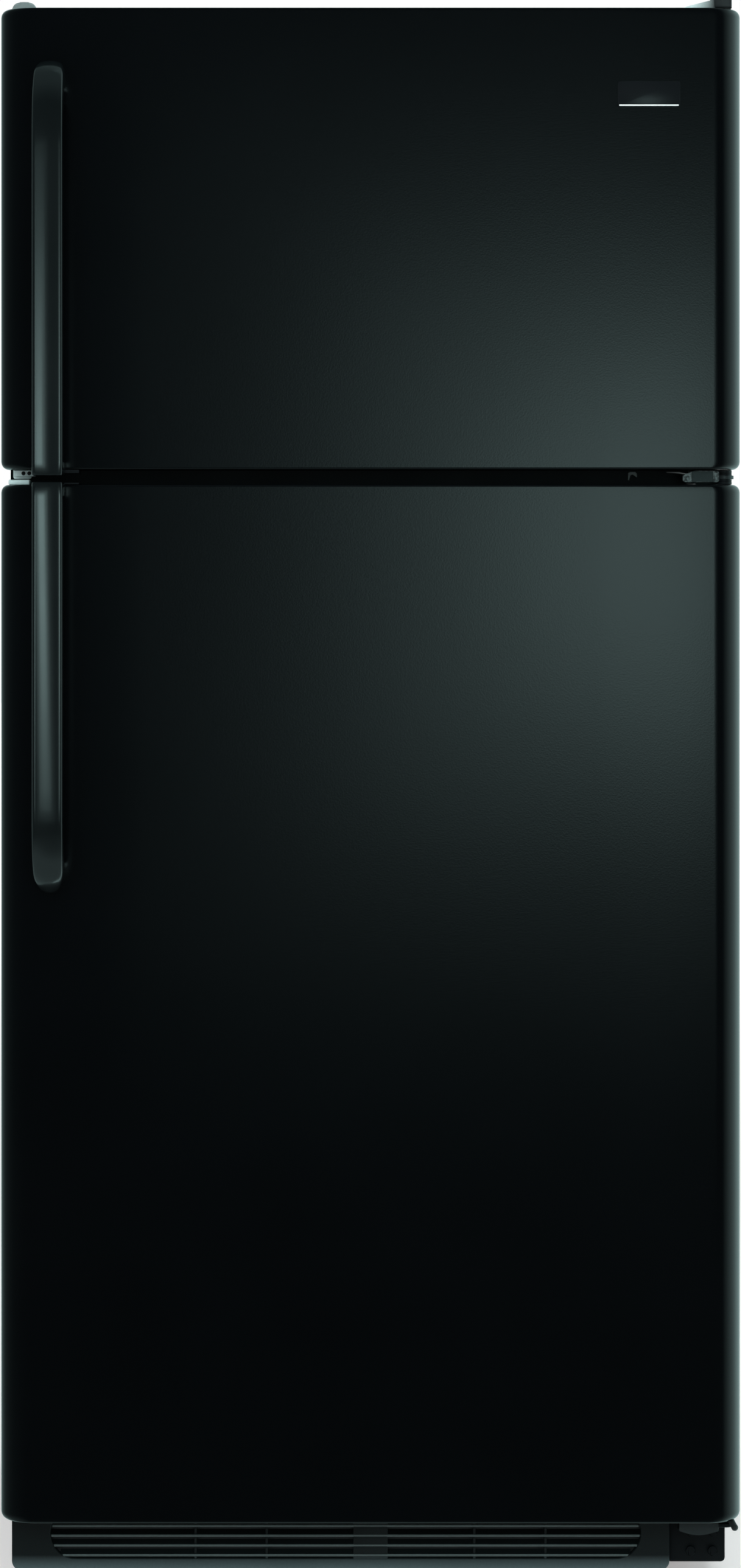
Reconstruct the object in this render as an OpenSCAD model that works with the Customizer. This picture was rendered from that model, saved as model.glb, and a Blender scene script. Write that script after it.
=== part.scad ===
// Top freezer refrigerator, black, with two right-hinged doors and left-hand bar handles.
// Frame: X to the right, front towards -Y, Z up; the origin is on the floor under the
// middle of the whole appliance.

/* [Overall] */
// Width across the two doors
door_w = 762; // [740:1:780]
// Width of the cabinet behind the doors
cabinet_w = 750; // [730:1:756]
// Depth of the cabinet without doors
cabinet_d = 650; // [640:1:680]
// How far the handles stand off the doors
handle_d = 56; // [50:1:60]

/* [Heights above the floor] */
// Lower edge of the cabinet and the toe grille
cabinet_bottom = 22; // [20:1:24]
// Top of the cabinet
cabinet_top = 1636; // [1630:1:1640]
// Lower edge of the fridge door
fridge_door_bottom = 85; // [84:1:88]
// Upper edge of the fridge door
fridge_door_top = 1151; // [1149:1:1152]
// Upper edge of the freezer door
freezer_door_top = 1640.5; // [1640:0.5:1642]
// Gap between the two doors
door_gap = 15.5; // [14:0.5:17]

/* [Doors] */
// Thickness of a door without its gasket
door_t = 60; // [56:1:64]
// Room taken by the compressed gasket
gasket_d = 12; // [10:0.5:14]
// Radius of the long round edges of a door
door_round = 29; // [24:1:30]
// Radius of the door's corners seen from the front
door_corner = 8; // [3:1:8]
// How far inside the door's right edge the hinge pins stand
pin_inset = 16; // [15:0.5:18]
// How far behind the door's face the hinge pins stand
pin_depth = 32; // [30:1:34]

/* [Handles] */
// Width of a handle bar
handle_w = 31; // [26:1:34]
// Distance of the handle's middle from the left edge of the door
handle_inset = 53; // [50:1:60]
// Thickness of the bar
handle_t = 14; // [11:1:16]
// Length of the curved run-out at a handle's far end
handle_curve = 93; // [80:1:110]
// Length of the freezer handle
freezer_handle_l = 426; // [380:1:440]
// Length of the fridge handle
fridge_handle_l = 421; // [380:1:440]

/* [Inside] */
// Half width of the freezer compartment
freezer_half = 318; // [314:1:320]
// Half width of the fresh food compartment
fresh_half = 327; // [324:1:330]
// Heights of the glass shelves above the crispers
shelf_heights = [552, 728, 902];
// Number of wires in the freezer shelf
shelf_wires = 16; // [8:1:24]

/* [Running gear] */
// Radius of the levelling foot's pad
foot_r = 17; // [14:1:18]
// Radius of a rear roller
roller_r = 25; // [22:1:26]

/* [Hidden] */
$fn = 48;
small = 0.3;              // running clearance between bodies
sheet = 1.2;              // steel sheet
liner_t = 2;              // plastic liners
rear_d = 8;               // the rear cover stands this far behind the cabinet
half_door = door_w / 2;
half_cab = cabinet_w / 2;

// Planes from front to back
total_d = handle_d + door_t + gasket_d + cabinet_d + rear_d;
door_y = -total_d / 2 + handle_d;
door_back = door_y + door_t;
cab_y = door_back + gasket_d;
cab_back = cab_y + cabinet_d;
seal_y = cab_y - 0.5;     // rear face of the gaskets

// Hinge line shared by both doors
pin_x = half_door - pin_inset;
pin_y = door_y + pin_depth;
pin_r = 4;
bush_r = 9;
fit = 0.08;               // radial clearance of a running fit

freezer_door_bottom = fridge_door_top + door_gap;
gap_z = (fridge_door_top + freezer_door_bottom) / 2;

// Compartments: [bottom, top, back]
freezer_in = [1195, 1576, 340];
fresh_in = [150, 1125, 335];
hump_y = 115;             // front of the step over the machine compartment
hump_z = 375;             // top of that step
machine_y = 155;          // front of the machine compartment
machine_z = 330;          // its ceiling
flange_w = 18;            // front return of the steel wrap
flange_x = half_cab - flange_w;
foam_bottom = 100;
wrap_bottom = 84;          // the steel wrap ends here, over the narrower base
base_x = half_cab - 6.7;   // outer half width of the base under it
shelf_front = -135;       // front edge of everything that lies on the shelves
screw_r = 5;

// Left side fittings of the handles
handle_x = -half_door + handle_inset;

// Door interiors
dike_fresh = 305;         // outer half width of the fridge door's inner walls
dike_freezer = 296;
dike_back = -157;         // rear edge of the door's inner walls
dike_t = 12;
plate_y = door_back + 2.5;
rack_wall = 3;

// Dairy box, [left, right, bottom, top], and its lid's pivot [y, z]
dairy = [-270, -10, 945, 1058];
lid_pivot = [-180, 1044];

// Crispers
crisper_in = [3, 322];
crisper_z = [156, 342];
crisper_back = 108;
cover_z = 354;            // underside of the crisper cover
knob_travel_x = 160;      // middle of each humidity slide

// Control housing, [half width, front, back, bottom]
housing = [210, -235, -130, 1066];
dial_x = 80;
dial_z = 1096;
switch_x = 180;

// Running gear
foot_x = 290;
foot_y = -222;
roller_x = 344;
roller_y = 330;
fan_z = 1487;             // evaporator fan
fan_x = 52;               // condenser fan
condenser_axis = [262, 140];

black = "#17191b";
charcoal = "#34383a";
white = "#e6e8e6";
steel = "#9a9fa3";
clear = "#cfe3e6";

// ---------------------------------------------------------------- shared shapes

// Box between two corners given as ranges
module block(x, y, z)
    translate([x[0], y[0], z[0]]) cube([x[1] - x[0], y[1] - y[0], z[1] - z[0]]);

// Extrudes an outline drawn in X and Z from the plane y[0] to the plane y[1]
module upright(y)
    translate([0, y[1], 0]) rotate([90, 0, 0]) linear_extrude(y[1] - y[0]) children();

// Outline with four round corners
module round_rect(x, z, r) {
    translate([x[0] + r, z[0]]) square([x[1] - x[0] - 2 * r, z[1] - z[0]]);
    translate([x[0], z[0] + r]) square([x[1] - x[0], z[1] - z[0] - 2 * r]);
    for (cx = [x[0] + r, x[1] - r], cz = [z[0] + r, z[1] - r])
        translate([cx, cz]) circle(r);
}

module both_sides() {
    children();
    mirror([1, 0, 0]) children();
}

module rod_x(x, y, z, r) translate([x[0], y, z]) rotate([0, 90, 0]) cylinder(r = r, h = x[1] - x[0]);
module rod_y(x, y, z, r) translate([x, y[1], z]) rotate([90, 0, 0]) cylinder(r = r, h = y[1] - y[0]);
module rod_z(x, y, z, r) translate([x, y, z[0]]) cylinder(r = r, h = z[1] - z[0]);

// Open-fronted box: outer ranges, less the same box shrunk by t and opened forwards
module open_box(x, y, z, t)
    difference() {
        block(x, y, z);
        block([x[0] + t, x[1] - t], [y[0] - 1, y[1] - t], [z[0] + t, z[1] - t]);
    }

// Plan of a door: flat face with two round vertical edges, open side at the back
module door_plan(inset) {
    r = door_round - inset;
    flat = half_door - door_round;
    translate([-flat, door_y + inset]) square([2 * flat, door_t - inset]);
    translate([-half_door + inset, door_y + door_round])
        square([door_w - 2 * inset, door_t - door_round]);
    for (x = [-flat, flat]) translate([x, door_y + door_round]) circle(r);
}

// Body of a door between two heights, drawn in from its outer surface by inset
module door_body(z, inset)
    intersection() {
        translate([0, 0, z[0] + inset]) linear_extrude(z[1] - z[0] - 2 * inset) door_plan(inset);
        upright([door_y - 1, door_back + 1])
            round_rect([-half_door + inset, half_door - inset], [z[0] + inset, z[1] - inset],
                door_corner - inset);
    }

// Holes for the two bushings of a door
module bushing_holes(z, r) {
    rod_z(pin_x, pin_y, [z[0] - 1, z[0] + 16], r);
    rod_z(pin_x, pin_y, [z[1] - 16, z[1] + 1], r);
}

module door_skin(z)
    color(black) difference() {
        door_body(z, 0);
        door_body(z, 1);
        upright([door_back - 6, door_back + 1])
            round_rect([1 - half_door, half_door - 1], [z[0] + 1, z[1] - 1], door_corner - 1);
        bushing_holes(z, bush_r);
    }

module door_foam(z)
    color("#e8d9a8") difference() {
        door_body(z, 1);
        bushing_holes(z, bush_r);
    }

// Flanged bushings at both ends of a door, bored for the hinge pins
module door_bushings(z)
    color(white) difference() {
        union() {
            rod_z(pin_x, pin_y, [z[0], z[0] + 15.9], bush_r);
            rod_z(pin_x, pin_y, [z[1] - 15.9, z[1]], bush_r);
        }
        rod_z(pin_x, pin_y, [z[0] - 1, z[0] + 13], pin_r + fit);
        rod_z(pin_x, pin_y, [z[1] - 13, z[1] + 1], pin_r + fit);
    }

// Inner plastic panel of a door with two tall side walls and a bottom wall
module door_liner(z, half, wall_z)
    color(white) {
        upright([door_back, plate_y])
            round_rect([2 - half_door, pin_x - 1], [z[0] + 8, z[1] - 8], 5);
        both_sides()
            block([half - dike_t, half], [plate_y, dike_back], wall_z);
        block([dike_t - half, half - dike_t], [plate_y, dike_back - 40],
            [wall_z[0], wall_z[0] + dike_t]);
    }

// Magnetic gasket: a round-cornered ring behind the door panel
module door_gasket(z)
    color("#3a3c3d") upright([plate_y, seal_y]) difference() {
        round_rect([-flange_x - 7, flange_x + 7], z, 9);
        round_rect([-flange_x + 9, flange_x - 9], [z[0] + 16, z[1] - 16], 4);
    }

// Rack between the side walls of a door: floor, front rail and end walls
module door_rack(x, z, h) {
    back = dike_back - 1;
    block(x, [plate_y + 0.5, back], [z, z + rack_wall]);
    block(x, [back - rack_wall, back], [z, z + h]);
    for (end = [x[0], x[1] - rack_wall])
        block([end, end + rack_wall], [plate_y + 0.5, back], [z, z + h * 0.7]);
}

// Side view of a handle, [distance from its far end, height over the door]
function handle_outline(l) = concat(
    [for (a = [0:10:90]) [handle_curve * (1 - cos(a)), handle_d * sin(a)]],
    [[l, handle_d], [l, 0], [l - 15, 0], [l - 15, handle_d - handle_t]],
    [for (a = [90:-10:0])
        [handle_curve / 3 + handle_curve * 0.47 * (1 - cos(a)), (handle_d - handle_t) * sin(a)]]);

// Handle bar with its far end up, standing on the door face, its near end at z = 0
module handle_bar(l)
    translate([handle_x - handle_w / 2, door_y, l]) rotate([0, 90, 0])
        linear_extrude(handle_w) mirror([0, 1, 0]) polygon(handle_outline(l));

// Pipe bent back and forth in X and Z, with thin fins across its straight runs
module finned_coil(run, runs, pitch, r, fins, fin_w) {
    for (i = [0:runs - 1]) rod_x([-run / 2, run / 2], 0, i * pitch, r);
    for (i = [0:runs - 2])
        translate([(i % 2 == 0 ? 1 : -1) * run / 2, 0, (i + 0.5) * pitch])
            rotate([90, 0, 0]) rotate([0, 0, i % 2 == 0 ? -90 : 90])
                rotate_extrude(angle = 180) translate([pitch / 2, 0]) circle(r);
    for (i = [0:fins - 1]) {
        x = -run / 2 + 20 + i * (run - 40) / (fins - 1);
        block([x - 0.4, x + 0.4], [-fin_w / 2, fin_w / 2], [-pitch / 3, (runs - 0.66) * pitch]);
    }
}

// Fan on the Z axis: hub with a shaft bore and tilted blades
module fan(r, hub_r, h, bore, blades)
    difference() {
        union() {
            cylinder(r = hub_r, h = h);
            intersection() {
                cylinder(r = r, h = 3 * h);
                for (i = [0:blades - 1]) rotate([0, 0, i * 360 / blades])
                    translate([hub_r - 3, -r / 3, h / 2]) rotate([25, 0, 0])
                        cube([r, r / 1.6, 1.6]);
            }
        }
        translate([0, 0, -1]) cylinder(r = bore, h = h - 2);
    }

// ---------------------------------------------------------------- cabinet

// Sides and top folded from one sheet, with returns round the front
module outer_wrap()
    color(black) {
        upright([cab_y, cab_back]) difference() {
            union() {
                round_rect([-half_cab, half_cab], [cabinet_top - 60, cabinet_top], 5);
                translate([-half_cab, wrap_bottom])
                    square([cabinet_w, cabinet_top - wrap_bottom - 30]);
            }
            round_rect([sheet - half_cab, half_cab - sheet],
                [cabinet_top - 62, cabinet_top - sheet], 5 - sheet);
            translate([sheet - half_cab, wrap_bottom - 1])
                square([cabinet_w - 2 * sheet, cabinet_top - wrap_bottom - 30]);
        }
        upright([cab_y, cab_y + sheet]) difference() {
            translate([0.5 - half_cab, foam_bottom - 2])
                square([cabinet_w - 1, cabinet_top - 5 - foam_bottom]);
            translate([-flange_x, foam_bottom - 3])
                square([2 * flange_x, cabinet_top - flange_w - foam_bottom + 3]);
        }
    }

module rear_panel()
    color(steel) upright([cab_back - 2, cab_back]) difference() {
        translate([0.2 + sheet - half_cab, machine_z + 4])
            square([cabinet_w - 0.4 - 2 * sheet, cabinet_top - machine_z - 6 - sheet]);
        for (x = [-240, 0, 240], z = [480, 980, 1480]) translate([x, z]) circle(5);
    }

// Chassis: bottom plate, side rails, front beam, machine tray, foot and roller brackets
module base_frame()
    color(charcoal) difference() {
        rail_x = half_cab - sheet - small;
        union() {
            block([-rail_x, rail_x], [cab_y + 2, machine_y], [foam_bottom - 2, foam_bottom]);
            block([-rail_x, rail_x], [machine_y - 2, machine_y],
                [foam_bottom, machine_z + 2]);
            block([-base_x, base_x], [machine_y - 2, machine_y], [cabinet_bottom, foam_bottom + 1]);
            block([-rail_x, rail_x], [machine_y, cab_back - 2.2], [machine_z, machine_z + 2]);
            block([22 - roller_x, roller_x - 22], [machine_y, cab_back - 2.2],
                [cabinet_bottom, cabinet_bottom + 2]);
            both_sides() {
                block([base_x - 2, base_x], [cab_y + 2, cab_back - 2.2],
                    [cabinet_bottom + 8, foam_bottom]);
                // foot bracket hanging from the bottom plate
                block([foot_x - 16, foot_x + 18], [foot_y - 14, foot_y + 14], [40, 48]);
                block([foot_x + 16, foot_x + 18], [foot_y - 14, foot_y + 14],
                    [40, foam_bottom - 1]);
                // two cheeks for the roller's axle
                for (x = [roller_x - 22, roller_x + 18])
                    block([x, x + 3], [roller_y - 24, roller_y + 24], [cabinet_bottom - 4, 62]);
                block([roller_x + 18, base_x - 1], [roller_y - 24, roller_y + 24], [58, 62]);
            }
            block([-296, 296], [cab_y + 3, cab_y + 30], [foam_bottom - 20, foam_bottom - 1]);
        }
        both_sides() {
            rod_z(foot_x, foot_y, [30, 60], pin_r + small);
            rod_x([roller_x - 30, roller_x + 26], roller_y, roller_r, pin_r + 0.02);
        }
    }

module cabinet_foam()
    color("#e8d9a8") difference() {
        upright([cab_y + 3.5, cab_back - 2.2])
            round_rect([1.5 - half_cab, half_cab - 1.5], [foam_bottom + 0.2, cabinet_top - 1.5], 4);
        block([-freezer_half - liner_t, freezer_half + liner_t],
            [cab_y - 1, freezer_in[2] + liner_t],
            [freezer_in[0] - liner_t, freezer_in[1] + liner_t]);
        difference() {
            block([-fresh_half - liner_t, fresh_half + liner_t],
                [cab_y - 1, fresh_in[2] + liner_t],
                [fresh_in[0] - liner_t, fresh_in[1] + liner_t]);
            block([-fresh_half - 5, fresh_half + 5], [hump_y + liner_t, cab_back],
                [0, hump_z - liner_t]);
        }
        block([-half_cab, half_cab], [machine_y - 2.2, cab_back], [0, machine_z + 2.2]);
    }

module freezer_liner()
    color(white) {
        open_box([-freezer_half - liner_t, freezer_half + liner_t],
            [cab_y, freezer_in[2] + liner_t],
            [freezer_in[0] - liner_t, freezer_in[1] + liner_t], liner_t);
        upright([cab_y, cab_y + liner_t]) difference() {
            translate([small - flange_x, freezer_in[0] - liner_t])
                square([2 * flange_x - 2 * small,
                    cabinet_top - flange_w - freezer_in[0] + liner_t - small]);
            translate([-freezer_half, freezer_in[0] - 5])
                square([2 * freezer_half, freezer_in[1] - freezer_in[0] + 5]);
        }
        // ledges that carry the wire shelf
        both_sides() block([freezer_half - 8, freezer_half], [shelf_front + 10, 240], [1376, 1381]);
    }

// Fresh food liner with the step over the machine compartment and its shelf ledges
module fresh_food_liner()
    color(white) {
        x = fresh_half + liner_t;
        difference() {
            union() {
                block([-x, x], [cab_y, fresh_in[2] + liner_t],
                    [hump_z - liner_t, fresh_in[1] + liner_t]);
                block([-x, x], [cab_y, hump_y + liner_t],
                    [fresh_in[0] - liner_t, hump_z]);
            }
            block([-fresh_half, fresh_half], [cab_y - 1, fresh_in[2]], [hump_z, fresh_in[1]]);
            block([-fresh_half, fresh_half], [cab_y - 1, hump_y], [fresh_in[0], hump_z + 1]);
        }
        upright([cab_y, cab_y + liner_t]) difference() {
            translate([small - flange_x, foam_bottom])
                square([2 * flange_x - 2 * small, fresh_in[1] + liner_t - foam_bottom]);
            translate([-fresh_half, fresh_in[0]])
                square([2 * fresh_half, fresh_in[1] - fresh_in[0] + 5]);
        }
        both_sides() for (z = concat(shelf_heights, [cover_z]))
            block([fresh_half - 6, fresh_half], [shelf_front + 12, hump_y - 10],
                [z - 6, z - 0.2]);
    }

module mullion_rail()
    color(black)
        block([small - flange_x, flange_x - small], [cab_y, cab_y + 3],
            [fresh_in[1] + liner_t + 0.2, freezer_in[0] - liner_t - 0.2]);

// ---------------------------------------------------------------- hinges and top trim

// Cranked plate on the cabinet top with the upper pin of the freezer door
module top_hinge()
    color(steel) {
        plate = 3;
        over = freezer_door_top + 1;
        block([pin_x - 32, pin_x + 4], [cab_y, cab_y + 62], [cabinet_top, cabinet_top + plate]);
        block([pin_x - 32, pin_x + 4], [cab_y - plate, cab_y],
            [cabinet_top, over + plate]);
        block([pin_x - 32, pin_x + 4], [pin_y, cab_y], [over, over + plate]);
        rod_z(pin_x - 5, pin_y, [over, over + plate], 9.5);
        rod_z(pin_x, pin_y, [freezer_door_top - 12, over + 1], pin_r);
    }

// Plastic cover: a low ramp on the left that steps up to a taller box on the right
module top_hinge_cover() {
    top = cabinet_top + 24;
    right = half_door - 9;
    low = freezer_door_top + 1.5;
    color(black) difference() {
        union() {
            upright([pin_y - 16, cab_y + 72])
                polygon([[right - 49, low], [right, low], [right, top - 5],
                    [right - 1.5, top - 1.5], [right - 5, top], [right - 14, top],
                    [right - 17.5, top - 1.5], [right - 19, top - 5], [right - 19, top - 9.5],
                    [right - 49, low + 1.2]]);
            block([right - 47, right], [cab_y, cab_y + 72], [cabinet_top, low + 1]);
        }
        // hollow over the hinge plate and its screws
        block([pin_x - 33.5, pin_x + 5.5], [pin_y - 13, cab_y + 66], [cabinet_top - 1, low + 2.7]);
    }
}

// Plate in the gap with one pin up and one pin down
module center_hinge()
    color(steel) {
        z = [gap_z - 1.8, gap_z + 1.8];
        block([pin_x - 34, pin_x - 2], [pin_y - 7, cab_y - 2], z);
        rod_z(pin_x, pin_y, z, 10);
        block([pin_x - 2, pin_x + 4], [pin_y, cab_y - 2], z);
        block([pin_x - 34, flange_x + 4], [cab_y - 3, cab_y], [gap_z - 14, gap_z + 17]);
        block([pin_x - 34, pin_x - 12], [pin_y - 9, pin_y - 6], [gap_z - 4.5, gap_z + 6]);
        rod_z(pin_x, pin_y, [fridge_door_top - 12, freezer_door_bottom + 12], pin_r);
    }

// Angle under the fridge door that carries it on one upright pin
module bottom_hinge()
    color(steel) {
        z = fridge_door_bottom - 5;
        block([pin_x - 45, pin_x + 3], [cab_y - 4, cab_y], [32, z]);
        block([pin_x - 45, pin_x - 3], [pin_y - 10, cab_y], [z - 4, z]);
        rod_z(pin_x, pin_y, [z - 4, z], 11);
        hinge_gussets(z);
        rod_z(pin_x, pin_y, [z - 4, fridge_door_bottom + 12], pin_r);
    }

// Gussets that stiffen the bottom hinge
module hinge_gussets(z)
    for (x = [pin_x - 45, pin_x - 20])
        translate([x, 0, 0]) rotate([90, 0, 90]) linear_extrude(3)
            polygon([[cab_y - 4, z - 34], [cab_y - 4, z - 4], [pin_y - 6, z - 4]]);

// Hex-drive heads that hold the three hinges
module hinge_screws()
    color(steel) {
        for (x = [pin_x - 22, pin_x - 6], y = [cab_y + 18, cab_y + 46])
            rod_z(x, y, [cabinet_top + 3.1, cabinet_top + 7], screw_r);
        for (x = [pin_x - 27, pin_x - 14])
            rod_y(x, [cab_y - 6.5, cab_y - 3.1], gap_z + 10, screw_r);
        for (x = [pin_x - 32, pin_x - 9], z = [42, 62])
            rod_y(x, [cab_y - 7.5, cab_y - 4.1], z, screw_r);
    }

// Thrust washers above and below the centre plate and on the bottom pin
module hinge_washers()
    color(white) difference() {
        union() {
            rod_z(pin_x, pin_y, [fridge_door_top + small, gap_z - 2], 8);
            rod_z(pin_x, pin_y, [gap_z + 2, freezer_door_bottom - small], 8);
            rod_z(pin_x, pin_y, [fridge_door_bottom - 4.8, fridge_door_bottom - small], 9);
        }
        rod_z(pin_x, pin_y, [0, cabinet_top], pin_r + 0.05);
    }

// Low domed cap over the unused hinge place at the top left
module top_corner_cap()
    color(charcoal) upright([cab_y + 1, cab_y + 58])
        polygon(concat([[1 - half_cab, cabinet_top]],
            [for (a = [180:-15:0])
                [14 - half_cab + 13 * cos(a), cabinet_top + 8 + 11 * sin(a)]],
            [[27 - half_cab, cabinet_top]]));

// Cover and two plugs over the unused holes at the left of the gap
module center_hole_plugs()
    color("#5b5f60") {
        upright([cab_y - 3, cab_y]) round_rect([3 - half_cab, 22 - half_cab],
            [gap_z - 1, gap_z + 15], 2);
        for (x = [8, 17])
            rod_y(x - half_cab, [cab_y - 4.5, cab_y - 3], gap_z + 7, 2.6);
    }

// Kick plate with one long round-ended louvre opening, its ribs and a plain centre pad
module toe_grille() {
    x = [2 - half_cab, 311];
    slot_x = [-333, 281];
    slot_z = [34, 88];
    r = (slot_z[1] - slot_z[0]) / 2 - 0.01;
    color(charcoal) {
        upright([cab_y - 9, cab_y]) difference() {
            round_rect(x, [cabinet_bottom, foam_bottom - 2.5], 10);
            round_rect(slot_x, slot_z, r);
        }
        intersection() {
            upright([cab_y - 8.5, cab_y - 1]) round_rect(slot_x, slot_z, r);
            union() {
                for (z = [slot_z[0] + 4.5:10.2:slot_z[1]])
                    block(slot_x, [cab_y - 8, cab_y - 2], [z - 1.6, z + 1.6]);
                for (rib = [-182, -108, 108, 182])
                    block([rib - 2, rib + 2], [cab_y - 6, cab_y - 1], slot_z);
                block([-18, 18], [cab_y - 8.5, cab_y - 5], slot_z);
            }
        }
    }
}

// ---------------------------------------------------------------- freezer inside

// Panel in front of the evaporator, with the fan's grille and a return slot
module evaporator_cover()
    color(white) upright([262, 265]) difference() {
        translate([1 - freezer_half, freezer_in[0] + 1])
            square([2 * freezer_half - 2, freezer_in[1] - freezer_in[0] - 2]);
        for (i = [-4:4]) translate([-sqrt(52 * 52 - i * i * 144), fan_z + i * 12 - 3])
            square([2 * sqrt(52 * 52 - i * i * 144), 6]);
        for (x = [-240:60:240]) translate([x - 22, freezer_in[0] + 14]) square([44, 8]);
    }

module evaporator_coil()
    color(steel) translate([0, 302, freezer_in[0] + 24]) finned_coil(520, 6, 30, 4, 12, 42);

module fan_motors()
    color(charcoal) {
        rod_y(0, [308, 336], fan_z, 27);
        rod_y(0, [292, 309], fan_z, 3);
        block([-50, 50], [336, freezer_in[2] - small], [fan_z - 8, fan_z + 8]);
        rod_x([fan_x - 60, fan_x - 16], condenser_axis[0], condenser_axis[1], 32);
        rod_x([fan_x - 17, fan_x + 6], condenser_axis[0], condenser_axis[1], 3);
        block([fan_x - 48, fan_x - 36], [condenser_axis[0] - 20, condenser_axis[0] + 20],
            [cabinet_bottom + 2.1, condenser_axis[1] - 20]);
    }

module evaporator_fan()
    color(charcoal) translate([0, 306, fan_z]) rotate([90, 0, 0]) fan(50, 14, 18, 3 + fit, 5);

module condenser_fan()
    color(charcoal) translate([fan_x - 12, condenser_axis[0], condenser_axis[1]])
        rotate([0, 90, 0]) fan(74, 20, 22, 3 + fit, 5);

// Wire shelf: many thin bars front to back, welded on cross bars, with a front skirt
module freezer_shelf()
    color(white) {
        half = freezer_half - 5;
        wire = 4;
        z = 1383;
        for (i = [0:shelf_wires - 1]) {
            x = -half + 10 + i * (2 * half - 20 - wire) / (shelf_wires - 1);
            block([x, x + wire], [shelf_front, 235], [z + 2, z + 6]);
        }
        for (y = [shelf_front + 1, 60, 228])
            block([-half, half], [y, y + 6], [z - 2, z + 4]);
        block([-half, half], [shelf_front + 1, shelf_front + 7], [z - 18, z - 12]);
        for (x = [-half, half - 6])
            block([x, x + 6], [shelf_front + 1, shelf_front + 7], [z - 18, z]);
    }

// ---------------------------------------------------------------- fresh food inside

// One shelf frame with a ledge under its glass
module shelf_frame(z, back)
    difference() {
        block([4 - fresh_half, fresh_half - 4], [shelf_front, back], [z, z + 14]);
        block([18 - fresh_half, fresh_half - 18], [shelf_front + 14, back - 14], [z - 1, z + 15]);
        block([12 - fresh_half, fresh_half - 12], [shelf_front + 8, back - 8], [z + 9, z + 15]);
    }

module shelf_glass(z, back)
    block([12.5 - fresh_half, fresh_half - 12.5], [shelf_front + 8.5, back - 8.5],
        [z + 9, z + 13.5]);

module shelf_frames()
    color(white) {
        for (z = shelf_heights) shelf_frame(z, fresh_in[2] - 10);
        difference() {
            shelf_frame(cover_z, hump_y - 1);
            for (s = [-1, 1])
                block([s * knob_travel_x - 24, s * knob_travel_x + 24],
                    [shelf_front - 1, shelf_front + 9], [cover_z + 3, cover_z + 8]);
        }
    }

module shelf_glasses()
    color(clear) {
        for (z = shelf_heights) shelf_glass(z, fresh_in[2] - 10);
        shelf_glass(cover_z, hump_y - 1);
    }

// Clear drawer with a lip to pull it by; side is -1 for the left one
module crisper(side)
    color(clear) {
        x = side > 0 ? crisper_in : [-crisper_in[1], -crisper_in[0]];
        difference() {
            block(x, [shelf_front, crisper_back], crisper_z);
            block([x[0] + 3, x[1] - 3], [shelf_front + 3, crisper_back - 3],
                [crisper_z[0] + 3, crisper_z[1] + 1]);
        }
        block([x[0] + 60, x[1] - 60], [shelf_front - 3, shelf_front],
            [crisper_z[1] - 26, crisper_z[1] - 20]);
    }

// Humidity slide: a knob on the cover's front edge with a foot in its slot
module humidity_slide(side)
    color(charcoal) {
        x = side * knob_travel_x;
        block([x - 8, x + 8], [shelf_front, shelf_front + 8], [cover_z + 3.3, cover_z + 7.7]);
        block([x - 9, x + 9], [shelf_front - 5, shelf_front - small],
            [cover_z + 1.5, cover_z + 12]);
        block([x - 3, x + 3], [shelf_front - 1, shelf_front + 1], [cover_z + 3.3, cover_z + 7.7]);
    }

// Housing for the controls, open at the back for the lamp
module control_housing()
    color(white) difference() {
        z = [housing[3], fresh_in[1] - 0.4];
        block([-housing[0], housing[0]], [housing[1], housing[2]], z);
        block([3 - housing[0], housing[0] - 3], [housing[1] + 14, housing[2] + 1],
            [z[0] + 3, z[1] - 3]);
        for (x = [-dial_x, dial_x])
            rod_y(x, [housing[1] - 1, housing[1] + 15], dial_z, 3 + fit);
        rod_y(switch_x, [housing[1] - 1, housing[1] + 15], dial_z, pin_r + fit);
    }

// Rotary control with a grip bar, on its own shaft
module dial(x)
    color(charcoal) {
        rod_y(x, [housing[1] - 6, housing[1] - small], dial_z, 19);
        block([x - 3, x + 3], [housing[1] - 16, housing[1] - 6], [dial_z - 17, dial_z + 17]);
        rod_y(x, [housing[1] - small, housing[1] + 20], dial_z, 3);
    }

module light_lens()
    color(clear) difference() {
        block([-95, 95], [housing[2] + small, -55], [housing[3] + 4, fresh_in[1] - 0.4]);
        block([-92, 92], [housing[2] - 1, -58], [housing[3] + 7, fresh_in[1] + 1]);
    }

module light_bulb()
    color("#f4f1e4") {
        translate([0, -88, dial_z + 2]) sphere(r = 19);
        rod_y(0, [-128, -96], dial_z + 2, 12);
    }

// Spring plunger that the closed fridge door holds in
module light_switch()
    color(white) {
        rod_y(switch_x, [plate_y + 0.5, housing[1] + 22], dial_z, pin_r);
        rod_y(switch_x, [housing[1] + 21, housing[1] + 24], dial_z, 7);
    }

// ---------------------------------------------------------------- machine compartment

module compressor()
    color(black) translate([-160, 262, cabinet_bottom + 2.1]) {
        block([-95, 95], [-65, 65], [14, 17]);
        for (x = [-82, 82], y = [-52, 52]) rod_z(x, y, [0, 14], 10);
        intersection() {
            cylinder(r = 74, h = 200);
            translate([0, 0, 92]) sphere(r = 100);
        }
        rod_x([60, 120], 40, 130, 4);
        rod_x([60, 110], -40, 110, 4);
    }

module condenser_coil()
    color(charcoal) translate([0, condenser_axis[0], cabinet_bottom + 42])
        for (x = [130, 180, 230])
            translate([x, 0, 0]) rotate([0, 0, 90]) finned_coil(130, 5, 32, 3, 5, 36);

module drain_pan()
    color(charcoal) translate([0, 0, cabinet_bottom + 2.2]) difference() {
        block([90, 300], [machine_y + 20, 355], [0, 22]);
        block([92, 298], [machine_y + 22, 353], [2, 23]);
    }

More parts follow.
